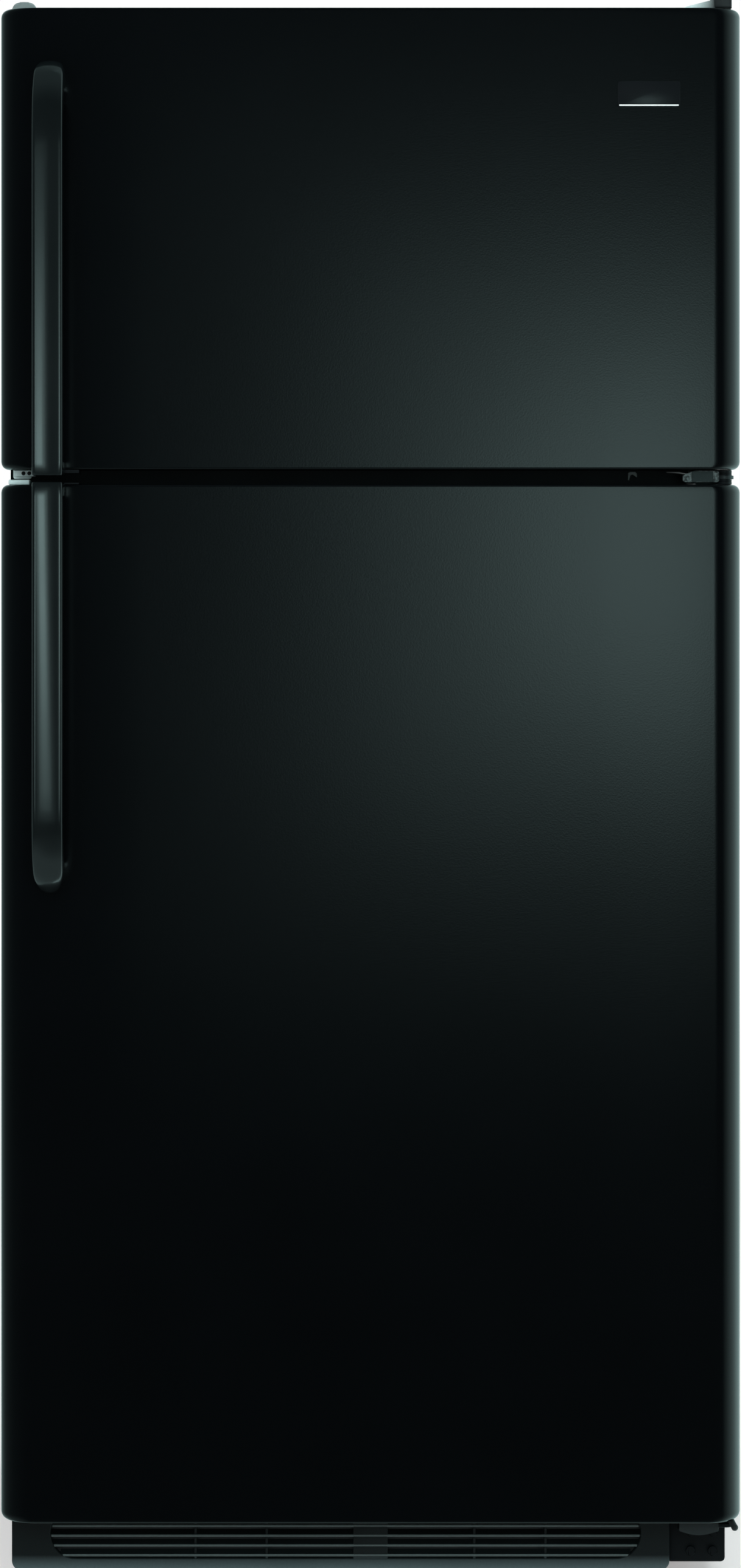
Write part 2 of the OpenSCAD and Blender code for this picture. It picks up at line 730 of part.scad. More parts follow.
// Louvred rear cover with the round gland for the mains lead
module rear_access_cover() {
    x = [4 - half_cab, half_cab - 4];
    z = [40, machine_z + 3];
    back = cab_back + rear_d;
    color(black) difference() {
        block(x, [cab_back - 2, back], z);
        block([x[0] + 2, x[1] - 2], [cab_back - 3, back - 2], [z[0] + 2, z[1] - 2]);
        for (i = [0:8], side = [-1, 1])
            block([side * 175 - 120, side * 175 + 120], [cab_back, back + 1],
                [90 + i * 22, 97 + i * 22]);
        rod_y(0, [cab_back, back + 1], 70, 7);
    }
    color(charcoal) difference() {
        rod_y(0, [back - 6, back], 70, 6.9);
        rod_y(0, [back - 7, back + 1], 70, 4.5);
    }
}

module roller_axles()
    color(steel) both_sides()
        rod_x([roller_x - 24, roller_x + 23], roller_y, roller_r, pin_r);

module roller()
    color(charcoal) difference() {
        rod_x([roller_x - 14, roller_x + 14], roller_y, roller_r, roller_r);
        rod_x([roller_x - 15, roller_x + 15], roller_y, roller_r, pin_r + fit);
        for (x = [roller_x - 14.5, roller_x + 9])
            difference() {
                rod_x([x, x + 5.5], roller_y, roller_r, roller_r - 6);
                rod_x([x - 1, x + 7], roller_y, roller_r, 9);
            }
    }

// Levelling foot: pad, hex nut and threaded stem
module leg()
    color(charcoal) {
        rod_z(foot_x, foot_y, [0, 8], foot_r);
        translate([foot_x, foot_y, 8]) cylinder(r = 9, h = 8, $fn = 6);
        rod_z(foot_x, foot_y, [16, 88], pin_r);
    }

// ---------------------------------------------------------------- doors

freezer_z = [freezer_door_bottom, freezer_door_top];
fridge_z = [fridge_door_bottom, fridge_door_top];

module nameplate()
    color(black) {
        upright([door_y - 2.5, door_y]) round_rect([half_door - 127.5, half_door - 63.5],
            [freezer_door_top - 102, freezer_door_top - 76], 2);
    }

module freezer_handle()
    color(black) {
        z = freezer_door_bottom - 7;
        translate([0, 0, z]) handle_bar(freezer_handle_l);
        block([handle_x - handle_w / 2, handle_x + 29], [door_y, door_y + 38],
            [z + 3, freezer_door_bottom - 0.2]);
    }

module fridge_handle()
    color(black) {
        z = fridge_door_top + 2;
        translate([0, 0, z]) mirror([0, 0, 1]) handle_bar(fridge_handle_l);
        block([handle_x - handle_w / 2, handle_x + 29], [door_y, door_y + 38],
            [fridge_door_top + 0.2, z]);
    }

module freezer_door_racks()
    color(white) {
        x = [dike_t + 0.5 - dike_freezer, dike_freezer - dike_t - 0.5];
        for (z = [1227.5, 1400]) door_rack(x, z, 72);
    }

// Three full racks, a short one at the top right, and the dairy box with its lid bores
module fridge_door_racks()
    color(white) {
        x = [dike_t + 0.5 - dike_fresh, dike_fresh - dike_t - 0.5];
        for (z = [200, 440, 660]) door_rack(x, z, z < 300 ? 118 : 82);
        door_rack([10, x[1]], 890, 74);
        difference() {
            block([dairy[0], dairy[1]], [plate_y + 0.5, lid_pivot[0] + 10],
                [dairy[2], dairy[3]]);
            block([dairy[0] + 3, dairy[1] - 3], [plate_y, lid_pivot[0] + 11],
                [dairy[2] + 3, dairy[3] - 3]);
            rod_x([dairy[0] - 1, dairy[1] + 1], lid_pivot[0], lid_pivot[1], 3 + fit);
        }
    }

module dairy_lid()
    color(clear) {
        rod_x([dairy[0] + 0.3, dairy[1] - 0.3], lid_pivot[0], lid_pivot[1], 3);
        block([dairy[0] + 4, dairy[1] - 4], [lid_pivot[0] + 1, lid_pivot[0] + 4],
            [dairy[2] + 5, lid_pivot[1] + 2]);
        block([dairy[0] + 90, dairy[1] - 90], [lid_pivot[0] + 4, lid_pivot[0] + 9],
            [dairy[2] + 8, dairy[2] + 12]);
    }

// Small hook under the hinge corner that ends the door's swing
module fridge_door_stop()
    color(charcoal) translate([pin_x, pin_y, fridge_door_bottom]) rotate([0, 0, -55]) {
        block([13, 16], [-4, 4], [-12, 0]);
        block([13, 19], [-4, 4], [-12, -9]);
    }

// ---------------------------------------------------------------- one line per node

outer_wrap();
rear_panel();
base_frame();
cabinet_foam();
freezer_liner();
fresh_food_liner();
mullion_rail();
top_hinge();
top_hinge_cover();
center_hinge();
bottom_hinge();
hinge_screws();
hinge_washers();
top_corner_cap();
center_hole_plugs();
toe_grille();
evaporator_cover();
evaporator_coil();
fan_motors();
freezer_shelf();
shelf_glasses();
shelf_frames();
control_housing();
light_lens();
light_bulb();
compressor();
condenser_coil();
drain_pan();
rear_access_cover();
roller_axles();
evaporator_fan();
condenser_fan();
crisper(-1);  // left_crisper
crisper(1);  // right_crisper
humidity_slide(-1);  // left_humidity_slide
humidity_slide(1);  // right_humidity_slide
dial(-dial_x);  // temperature_dial
dial(dial_x);  // freezer_dial
light_switch();
mirror([1, 0, 0]) roller();  // left_roller
roller();  // right_roller
mirror([1, 0, 0]) leg();  // left_leg
leg();  // right_leg
door_skin(freezer_z);  // freezer_door_skin
door_foam(freezer_z);  // freezer_door_foam
door_liner(freezer_z, dike_freezer, [1215, 1556]);  // freezer_door_liner
door_gasket([1178, 1628]);  // freezer_door_gasket
freezer_handle();
door_bushings(freezer_z);  // freezer_door_bushings
nameplate();
freezer_door_racks();
door_skin(fridge_z);  // fridge_door_skin
door_foam(fridge_z);  // fridge_door_foam
door_liner(fridge_z, dike_fresh, [185, 1059]);  // fridge_door_liner
door_gasket([112, 1142]);  // fridge_door_gasket
fridge_handle();
door_bushings(fridge_z);  // fridge_door_bushings
fridge_door_racks();
fridge_door_stop();
dairy_lid();
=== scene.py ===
"""Looks of the black top freezer refrigerator. Lengths are in millimetres, with X to the
right, the front towards -Y and Z up, until a mesh is stored, which happens in metres."""
import math

import bmesh
import bpy
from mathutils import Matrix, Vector


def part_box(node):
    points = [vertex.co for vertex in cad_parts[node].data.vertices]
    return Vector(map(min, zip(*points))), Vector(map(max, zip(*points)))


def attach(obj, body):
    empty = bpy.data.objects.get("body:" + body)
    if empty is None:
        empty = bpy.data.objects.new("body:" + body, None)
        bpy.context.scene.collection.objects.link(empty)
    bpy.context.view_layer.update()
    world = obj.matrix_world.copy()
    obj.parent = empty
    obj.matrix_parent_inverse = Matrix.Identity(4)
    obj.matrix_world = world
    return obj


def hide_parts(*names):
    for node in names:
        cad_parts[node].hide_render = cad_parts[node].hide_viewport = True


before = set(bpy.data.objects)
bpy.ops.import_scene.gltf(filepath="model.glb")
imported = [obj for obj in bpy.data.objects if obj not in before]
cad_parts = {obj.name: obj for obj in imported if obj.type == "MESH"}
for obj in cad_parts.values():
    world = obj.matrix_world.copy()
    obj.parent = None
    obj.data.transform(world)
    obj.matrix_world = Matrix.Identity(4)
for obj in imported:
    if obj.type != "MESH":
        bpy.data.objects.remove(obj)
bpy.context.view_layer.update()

MM = 0.001
HALF = 381                # half width of a door
DOOR_Y, DOOR_BACK = -337, -277
PLATE_Y, CAB_Y, CAB_BACK = -274.5, -265, 385
ROUND = 29                # long round edges of the doors
PIN_X, PIN_Y = 365, -305
FREEZER_Z, FRIDGE_Z = (1166.5, 1640.5), (85, 1151)
SHELF_FRONT = -135


# ---------------------------------------------------------------- mesh building

def rounded(x, z, r, n=5):
    """Outline of a rectangle with round corners, as a list of points."""
    points = []
    for cx, cz, start in ((x[1] - r, z[1] - r, 0), (x[0] + r, z[1] - r, 90),
                          (x[0] + r, z[0] + r, 180), (x[1] - r, z[0] + r, 270)):
        for i in range(n + 1):
            a = math.radians(start + 90 * i / n)
            points.append((cx + r * math.cos(a), cz + r * math.sin(a)))
    return points


def swap(axis, u, v, w):
    """Point with w along the axis and u, v across it."""
    return {"x": (w, u, v), "y": (u, w, v), "z": (u, v, w)}[axis]


class Shape:
    """Collects solids in one mesh."""

    def __init__(self):
        self.bm = bmesh.new()

    def _bevel(self, edges, r, n):
        if r > 0:
            bmesh.ops.bevel(self.bm, geom=edges, offset=r, segments=n, profile=0.5,
                            affect="EDGES", clamp_overlap=True)

    def loft(self, sections, caps=True, closed=True, ring=False):
        """Skin through sections that have the same number of points."""
        rows = [[self.bm.verts.new(p) for p in s] for s in sections]
        if ring:
            rows.append(rows[0])
        n = len(rows[0])
        for a, b in zip(rows, rows[1:]):
            for i in range(n if closed else n - 1):
                j = (i + 1) % n
                self.bm.faces.new((a[i], a[j], b[j], b[i]))
        if caps and not ring:
            self.bm.faces.new(rows[0][::-1])
            self.bm.faces.new(rows[-1])
        return rows

    def prism(self, outline, a, b, axis="y", r=0.6, n=2):
        """Outline extruded from a to b, with its end edges rounded by r."""
        rows = self.loft([[swap(axis, u, v, w) for u, v in outline] for w in (a, b)])
        ends = {e for row in rows for v in row for e in v.link_edges
                if e.verts[0] in row and e.verts[1] in row}
        self._bevel(list(ends), r, n)
        return self

    def box(self, x, y, z, r=0.6, n=2):
        rows = self.loft([[(x[0], y[0], w), (x[1], y[0], w), (x[1], y[1], w), (x[0], y[1], w)]
                          for w in z])
        self._bevel(list({e for row in rows for v in row for e in v.link_edges}), r, n)
        return self

    def ring(self, outer, inner, a, b, axis="y", r=0.5):
        """Frame between two outlines with the same number of points."""
        place = lambda line, w: [swap(axis, u, v, w) for u, v in line]
        shrink = lambda line, to, d: [
            (p[0] + d * (q[0] - p[0]) / (math.dist(p, q) or 1),
             p[1] + d * (q[1] - p[1]) / (math.dist(p, q) or 1)) for p, q in zip(line, to)]
        out_r, in_r = shrink(outer, inner, r), shrink(inner, outer, r)
        self.loft([place(out_r, a), place(outer, a + r), place(outer, b - r), place(out_r, b),
                   place(in_r, b), place(inner, b - r), place(inner, a + r), place(in_r, a)],
                  ring=True)
        return self

    def tube(self, points, r, n=10, closed=False):
        """Round wire along points."""
        points = [Vector(p) for p in points]
        sections, side = [], None
        count = len(points)
        for i, p in enumerate(points):
            before = points[(i - 1) % count] if closed or i else p
            after = points[(i + 1) % count] if closed or i < count - 1 else p
            along = (after - before).normalized()
            if side is None:
                side = along.orthogonal().normalized()
            side = (side - along * side.dot(along)).normalized()
            up = along.cross(side)
            sections.append([p + r * (side * math.cos(a) + up * math.sin(a))
                             for a in (2 * math.pi * k / n for k in range(n))])
        self.loft(sections, ring=closed)
        return self

    def spin(self, profile, centre, axis="z", n=28):
        """Solid of revolution: profile is (radius, place along the axis), open at both ends."""
        u, v = centre
        self.loft([[swap(axis, u + rad * math.cos(a), v + rad * math.sin(a), w)
                    for a in (2 * math.pi * k / n for k in range(n))] for rad, w in profile])
        return self

    def done(self, name, body, look, replaces=(), sharp=38, bevel=0.0, thicken=0.0):
        bmesh.ops.recalc_face_normals(self.bm, faces=self.bm.faces)
        for v in self.bm.verts:
            v.co *= MM
        mesh = bpy.data.meshes.new(name)
        self.bm.to_mesh(mesh)
        self.bm.free()
        mesh.polygons.foreach_set("use_smooth", [True] * len(mesh.polygons))
        mesh.set_sharp_from_angle(angle=math.radians(sharp))
        piece = bpy.data.objects.new(name, mesh)
        bpy.context.scene.collection.objects.link(piece)
        if bevel:
            add_bevel(piece, bevel, 3)
        if thicken:
            solid = piece.modifiers.new("wall", "SOLIDIFY")
            solid.thickness, solid.offset = thicken * MM, 1
        if bevel or thicken:
            piece.modifiers.new("normals", "WEIGHTED_NORMAL").keep_sharp = True
        mesh.materials.append(LOOKS[look])
        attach(piece, body)
        if replaces:
            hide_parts(*replaces)
        return piece


def add_bevel(piece, width, segments=2):
    edge = piece.modifiers.new("edge", "BEVEL")
    edge.width, edge.segments = width * MM, segments
    edge.limit_method, edge.angle_limit = "ANGLE", math.radians(35)
    edge.use_clamp_overlap = False
    return edge


# ---------------------------------------------------------------- finishes

def make_look(name, color, rough, metal=0.0, specular=0.5, tone=0.12, grain=2.0, bump=0.0,
              bump_size=1.2, rough_shift=0.06, clear=0.0, ior=1.46, patches=0.0,
              pebble=False, glow=0.0, fade=None):
    """Procedural finish: tone and gloss wander a little, and a fine grain lifts the surface.
    grain and bump_size are in millimetres, bump is the grain's height in millimetres.
    fade is (axis, place a, place b, share of the tone at a, share at b)."""
    mat = bpy.data.materials.new(name)
    mat.use_nodes = True
    tree = mat.node_tree
    node = lambda kind: tree.nodes.new("ShaderNode" + kind)
    link = tree.links.new
    shader = tree.nodes["Principled BSDF"]
    shader.inputs["Metallic"].default_value = metal
    shader.inputs["Specular IOR Level"].default_value = specular
    shader.inputs["Transmission Weight"].default_value = clear
    shader.inputs["IOR"].default_value = ior
    place = node("TexCoord").outputs["Object"]

    def noise(size_mm, detail):
        made = node("TexNoise")
        made.inputs["Scale"].default_value = 1000 / size_mm
        made.inputs["Detail"].default_value = detail
        link(place, made.inputs["Vector"])
        return made.outputs["Fac"]

    wide = noise(130, 3)
    fine = noise(grain, 2)
    mixed = node("Math")
    mixed.operation = "MULTIPLY_ADD"
    mixed.inputs[1].default_value = 0.5
    link(fine, mixed.inputs[0])
    half = node("Math")
    half.operation = "MULTIPLY"
    half.inputs[1].default_value = 0.5
    link(wide, half.inputs[0])
    link(half.outputs[0], mixed.inputs[2])
    ramp = node("ValToRGB")
    ramp.color_ramp.elements[0].position = 0.32
    ramp.color_ramp.elements[1].position = 0.68
    ramp.color_ramp.elements[0].color = [c * (1 - tone) for c in color] + [1]
    ramp.color_ramp.elements[1].color = [min(1, c * (1 + tone)) for c in color] + [1]
    link(mixed.outputs[0], ramp.inputs["Fac"])
    base = ramp.outputs["Color"]
    if patches:
        spots = node("ValToRGB")
        spots.color_ramp.elements[0].position = 0.42
        spots.color_ramp.elements[1].position = 0.6
        spots.color_ramp.elements[0].color = [1 - patches] * 3 + [1]
        spots.color_ramp.elements[1].color = [1, 1, 1, 1]
        link(noise(2.6, 4), spots.inputs["Fac"])
        blend = node("Mix")
        blend.data_type, blend.blend_type = "RGBA", "MULTIPLY"
        blend.inputs["Factor"].default_value = 1
        link(base, blend.inputs[6])
        link(spots.outputs["Color"], blend.inputs[7])
        base = blend.outputs[2]
    # fade paints light or shade: it scales the tone along an axis
    if fade:
        axis, from_a, to_b, share_a, share_b = fade
        axes, across = node("SeparateXYZ"), node("MapRange")
        link(place, axes.inputs[0])
        link(axes.outputs[axis], across.inputs["Value"])
        across.inputs["From Min"].default_value = from_a * MM
        across.inputs["From Max"].default_value = to_b * MM
        across.inputs["To Min"].default_value = share_a
        across.inputs["To Max"].default_value = share_b
        shade = node("VectorMath")
        shade.operation = "SCALE"
        link(base, shade.inputs[0])
        link(across.outputs["Result"], shade.inputs["Scale"])
        base = shade.outputs["Vector"]
    link(base, shader.inputs["Base Color"])
    if glow:
        link(base, shader.inputs["Emission Color"])
        shader.inputs["Emission Strength"].default_value = glow
    gloss = node("MapRange")
    gloss.inputs["From Min"].default_value = 0.3
    gloss.inputs["From Max"].default_value = 0.7
    gloss.inputs["To Min"].default_value = max(0.0, rough - rough_shift)
    gloss.inputs["To Max"].default_value = min(1.0, rough + rough_shift)
    link(wide, gloss.inputs["Value"])
    link(gloss.outputs["Result"], shader.inputs["Roughness"])
    if bump:
        lift = node("Bump")
        lift.inputs["Strength"].default_value = 1
        lift.inputs["Distance"].default_value = bump * MM
        height = noise(bump_size, 2)
        if pebble:
            cells = node("TexVoronoi")
            cells.feature = "SMOOTH_F1"
            cells.inputs["Scale"].default_value = 1000 / bump_size
            link(place, cells.inputs["Vector"])
            height = cells.outputs["Distance"]
        link(height, lift.inputs["Height"])
        link(lift.outputs["Normal"], shader.inputs["Normal"])
    return mat


LOOKS = {
    "black_paint": make_look("black_paint", (0.0008, 0.0011, 0.0015), 0.17, specular=0.42,
                             bump=0.02, bump_size=1.5, pebble=True, tone=0.2,
                             rough_shift=0.0),
    "handle": make_look("handle", (0.003, 0.0042, 0.0046), 0.14, specular=1.0, bump=0.004,
                        bump_size=0.8, rough_shift=0.02),
    "black_plastic": make_look("black_plastic", (0.012, 0.014, 0.015), 0.4, bump=0.03),
    # The grille's lower rim is painted up to twelve times lighter towards the bottom: painted
    # light on the rim
    "grille": make_look("grille", (0.006, 0.0085, 0.009), 0.5, specular=0.3,
                        bump=0.03, bump_size=0.9, fade=("Z", 23, 38, 12, 1)),
    # Lighter tone for the louvres' front lips: a painted highlight of their round edges
    "grille_edge_highlight": make_look("grille_edge_highlight", (0.058, 0.078, 0.078), 0.5, bump=0.02),
    "apron": make_look("apron", (0.012, 0.016, 0.017), 0.5, bump=0.03),
    "plug": make_look("plug", (0.74, 0.90, 0.90), 0.5, bump=0.02),
    # Mid grey: on the corner cap it is painted sheen on glossy black plastic, on the rail button
    # the button's own dark grey
    "cap": make_look("cap", (0.163, 0.194, 0.194), 0.42, bump=0.02),
    "top_block": make_look("top_block", (0.50, 0.61, 0.61), 0.45, bump=0.02),
    # Light grey that fades to near black towards the box: painted sheen on the dark plastic of
    # the hinge cover
    "ramp": make_look("ramp", (0.74, 0.85, 0.85), 0.45, bump=0.02,
                      fade=("X", 330, 354, 1, 0.04)),
    "zinc": make_look("zinc", (0.25, 0.20, 0.20), 0.42, metal=1.0, tone=0.18, grain=5,
                      bump=0.02),
    "mottled_zinc": make_look("mottled_zinc", (0.19, 0.235, 0.235), 0.5, metal=0.3, tone=0.3,
                              grain=1.2, patches=0.75, bump=0.12, bump_size=1.6),
    "dull_steel": make_look("dull_steel", (0.055, 0.065, 0.066), 0.45, metal=0.8, bump=0.02),
    "black_steel": make_look("black_steel", (0.004, 0.005, 0.006), 0.5, specular=0.2,
                             bump=0.02),
    "foam": make_look("foam", (0.78, 0.66, 0.38), 0.9, tone=0.1, bump=0.3, bump_size=2),
    "liner": make_look("liner", (0.80, 0.82, 0.82), 0.28, tone=0.02, bump=0.008,
                       bump_size=3),
    "white_plastic": make_look("white_plastic", (0.76, 0.78, 0.77), 0.4, tone=0.03,
                               bump=0.01),
    "rack": make_look("rack", (0.80, 0.83, 0.83), 0.3, tone=0.03, bump=0.01),
    "white_wire": make_look("white_wire", (0.80, 0.82, 0.81), 0.3, tone=0.03, bump=0.01),
    "coil": make_look("coil", (0.62, 0.64, 0.65), 0.35, metal=1.0, bump=0.01),
    "dark_metal": make_look("dark_metal", (0.012, 0.013, 0.014), 0.35, bump=0.02),
    "glass": make_look("glass", (0.86, 0.95, 0.93), 0.03, clear=0.96, tone=0.02,
                       rough_shift=0.01, ior=1.5),
    "clear_plastic": make_look("clear_plastic", (0.90, 0.95, 0.96), 0.1, clear=0.9, tone=0.02,
                               rough_shift=0.03, ior=1.3),
    "lens": make_look("lens", (0.92, 0.93, 0.9), 0.4, clear=0.6, tone=0.02, ior=1.3,
                      bump=0.1, bump_size=3),
    "bulb": make_look("bulb", (0.92, 0.9, 0.8), 0.3, clear=0.3, tone=0.03),
    "knob": make_look("knob", (0.05, 0.056, 0.06), 0.42, bump=0.02),
    "foot": make_look("foot", (0.012, 0.013, 0.014), 0.5, bump=0.03),
    "gasket": make_look("gasket", (0.018, 0.019, 0.02), 0.55, bump=0.02),
    "gloss_plate": make_look("gloss_plate", (0.004, 0.005, 0.006), 0.26, specular=0.35,
                             bump=0.002, rough_shift=0.0),
    "bright_line": make_look("bright_line", (0.86, 0.9, 0.9), 0.42, metal=0.2, tone=0.05),
    "floor": make_look("floor", (0.90, 0.82, 0.82), 0.7, tone=0.01, grain=9, specular=0.2,
                       glow=0.35),
}

NODE_LOOKS = {
    "black_paint": ["outer_wrap"],
    "black_plastic": ["rear_access_cover"],
    "black_steel": ["hinge_screws", "mullion_rail", "hinge_washers"],
    "apron": ["drain_pan", "evaporator_fan", "condenser_fan"],
    "zinc": ["rear_panel", "base_frame", "top_hinge", "roller_axles"],
    "dull_steel": ["center_hinge"],
    "foam": ["cabinet_foam", "freezer_door_foam", "fridge_door_foam"],
    "liner": ["evaporator_cover"],
    "white_plastic": ["shelf_frames", "control_housing", "light_switch",
                      "freezer_door_bushings", "fridge_door_bushings"],
    "coil": ["evaporator_coil"],
    "dark_metal": ["compressor", "condenser_coil", "fan_motors"],
    "glass": ["shelf_glasses"],
    "lens": ["light_lens"],
    "bulb": ["light_bulb"],
    "knob": ["temperature_dial", "freezer_dial", "left_humidity_slide",
             "right_humidity_slide"],
    "foot": ["left_leg", "right_leg", "left_roller", "right_roller"],
}
EDGE_WIDTHS = {"outer_wrap": 0.5, "control_housing": 1.4, "shelf_frames": 1.5,
               "rear_panel": 0.6, "base_frame": 0.5, "evaporator_cover": 0.8,
               "rear_access_cover": 0.8, "light_lens": 1.2, "compressor": 1.0,
               "evaporator_coil": 0, "condenser_coil": 0, "light_bulb": 0, "top_hinge": 0.6,
               "center_hinge": 0.4, "hinge_washers": 0.4, "shelf_glasses": 1.0,
               "temperature_dial": 1.0, "freezer_dial": 1.0, "left_roller": 1.2,
               "right_roller": 1.2, "left_leg": 1.0, "right_leg": 1.0, "drain_pan": 0.8}

for look, nodes in NODE_LOOKS.items():
    for name in nodes:
        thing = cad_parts[name]
        for held in thing.material_slots:
            held.link = "OBJECT"
            held.material = LOOKS[look]
        width = EDGE_WIDTHS.get(name, 0.4)
        if width:
            thing.modifiers.new("weld", "WELD").merge_threshold = 0.02 * MM
            add_bevel(thing, width)
            thing.modifiers.new("normals", "WEIGHTED_NORMAL").keep_sharp = False


# ---------------------------------------------------------------- doors

def end_drop(distance, r):
    """How far a round edge of radius r has fallen back at a distance from the end."""
    return r - math.sqrt(max(0.0, r * r - (r - distance) ** 2)) if distance < r else 0.0


def door_plan(side_in, front_in, z, back=DOOR_BACK, n=12):
    """Plan of a door at height z, drawn in from its sides and its face."""
    w, front = HALF - side_in, DOOR_Y + front_in
    line = [(-w, back, z)]
    for sign in (-1, 1):
        for i in range(n + 1):
            a = math.pi / 2 * i / n
            a = a if sign < 0 else math.pi / 2 - a
            line.append((sign * (w - ROUND + ROUND * math.cos(a)),
                         front + ROUND - ROUND * math.sin(a), z))
        if sign < 0:
            line += [(x, front, z) for x in (-230, -115, 0, 115, 230)]
    return line + [(w, back, z)]


def door_shell(prefix, z, body):
    """Folded steel front with turned-in ends, and the plastic end caps inside them."""
    corner, fold, lip, recess = 8, 1.8, 1.3, 0.9
    steps = (0, 0.3, 0.8, 1.5, 2.4, 3.6, 5.4, 8)
    ends = [(d, end_drop(d, corner), end_drop(d, fold)) for d in steps]
    sections = [door_plan(corner + lip, fold + lip, z[0] + recess)]
    sections.append(door_plan(corner + lip, fold + lip, z[0]))
    sections += [door_plan(s, f, z[0] + d) for d, s, f in ends]
    sections += [door_plan(s, f, z[1] - d) for d, s, f in reversed(ends)]
    sections.append(door_plan(corner + lip, fold + lip, z[1]))
    sections.append(door_plan(corner + lip, fold + lip, z[1] - recess))
    wrap = Shape()
    wrap.loft(sections)
    wrap.done(prefix + "_wrap", body, "black_paint",
              [prefix + "_skin", prefix + "_foam"], sharp=30)
    caps = Shape()
    for low in (z[0] + recess - 0.2, z[1] - recess - 2.8):
        plan = [(x, y) for x, y, _ in door_plan(corner + lip + 0.5, fold + lip + 0.5, 0,
                                               DOOR_BACK - 1)]
        caps.prism(plan, low, low + 3, "z", 0.6)
    caps.done(prefix + "_end_caps", body, "black_plastic")


def inner_door(prefix, z, half, walls, beads, body):
    """Vacuum-formed inner panel: plate, two tall side walls, a bottom wall and soft beads."""
    panel = Shape()
    panel.prism(rounded((-379, 364), (z[0] + 8, z[1] - 8), 6), DOOR_BACK + 0.1, PLATE_Y,
                r=0.9, n=3)
    side = [(y, w) for y, w in rounded((PLATE_Y - 0.5, -157), walls, 16, 6)]
    for x in (-half, half - 12):
        panel.prism(side, x, x + 12, "x", 4.2, 4)
    panel.box((12 - half, half - 12), (PLATE_Y - 0.5, -197), (walls[0], walls[0] + 12), 4.5, 4)
    for bead in beads:
        panel.box((40 - half, half - 40), (PLATE_Y - 0.5, PLATE_Y + 3), (bead - 5, bead + 5),
                  2.6, 4)
    panel.done(prefix + "_inner_panel", body, "liner", [prefix + "_liner"])


def door_seal(prefix, z, body):
    """Bellows gasket with its magnet tube, run round the inner panel."""
    turn = 6                 # steps in each quarter turn of the outline
    base = rounded((-356, 356), (z[0] + 8, z[1] - 8), 7, turn)
    profile = [(-6, -274.5), (-6, -273.3), (-3, -272.7), (-5.2, -271.4), (-5.4, -270.3),
               (-7.4, -269.6), (-8, -268.8), (-8, -266.3), (-7.2, -265.5), (7.2, -265.5),
               (8, -266.3), (8, -268.8), (7.4, -269.6), (5.4, -270.3), (5.2, -271.4),
               (3, -272.7), (6, -273.3), (6, -274.5)]
    sections = []
    for i, (x, w) in enumerate(base):
        angle = math.radians(90 * (i // (turn + 1)) + 90 * (i % (turn + 1)) / turn)
        out = Vector((math.cos(angle), math.sin(angle)))
        sections.append([(x + out.x * u, y, w + out.y * u) for u, y in profile])
    seal = Shape()
    seal.loft(sections, ring=True)
    seal.done(prefix + "_seal", body, "gasket", [prefix + "_gasket"])


# ---------------------------------------------------------------- handles

HANDLE_IN = 53            # middle of the handles from the edge of the doors
HANDLE_HALF = 15.5        # half their width
MIRROR_LEAN = 8.5         # degrees to the right at which a face mirrors the soft box
CURVE = 93                # length of the curved end
TIP_CROWN = (60, 15)      # from the tip: where the even crown begins, and where it is full
BACK = [(-15.0, 12.6), (-13.6, 13.7), (-11.5, 14.0), (11.5, 14.0), (13.8, 13.6), (15.1, 12.7)]
FACE = (13, 11, 8, 5, 2, 0, -2, -4, -5.5, -7, -8.5, -10, -11.5, -13)


def front_line(middle, crown):
    """Face of a handle across its width as (x, depth). The left part is a shallow hollow that
    faces the soft box at middle; crown 1 gives the even crown of the tip."""
    depths = [0.0]
    for b, a in zip(FACE[::-1], FACE[-2::-1]):
        lean = min(16.0, max(0.5, MIRROR_LEAN - 0.75 * ((a + b) / 2 - middle)))
        depths.append(depths[-1] + (a - b) * math.tan(math.radians(lean)))
    line = [(x, d * (1 - crown) + crown * 0.7 * abs(x / 13) ** 3)
            for x, d in zip(FACE, depths[::-1])]
    right, left = line[0][1], line[-1][1]
    return ([(15.5, 11.5), (15.5, right + 2.4), (15.25, right + 1.2), (14.6, right + 0.4)] + line
            + [(-14.2, left + 0.5), (-15.1, left + 1.9), (-15.5, left + 4.4), (-15.5, 11.0)])


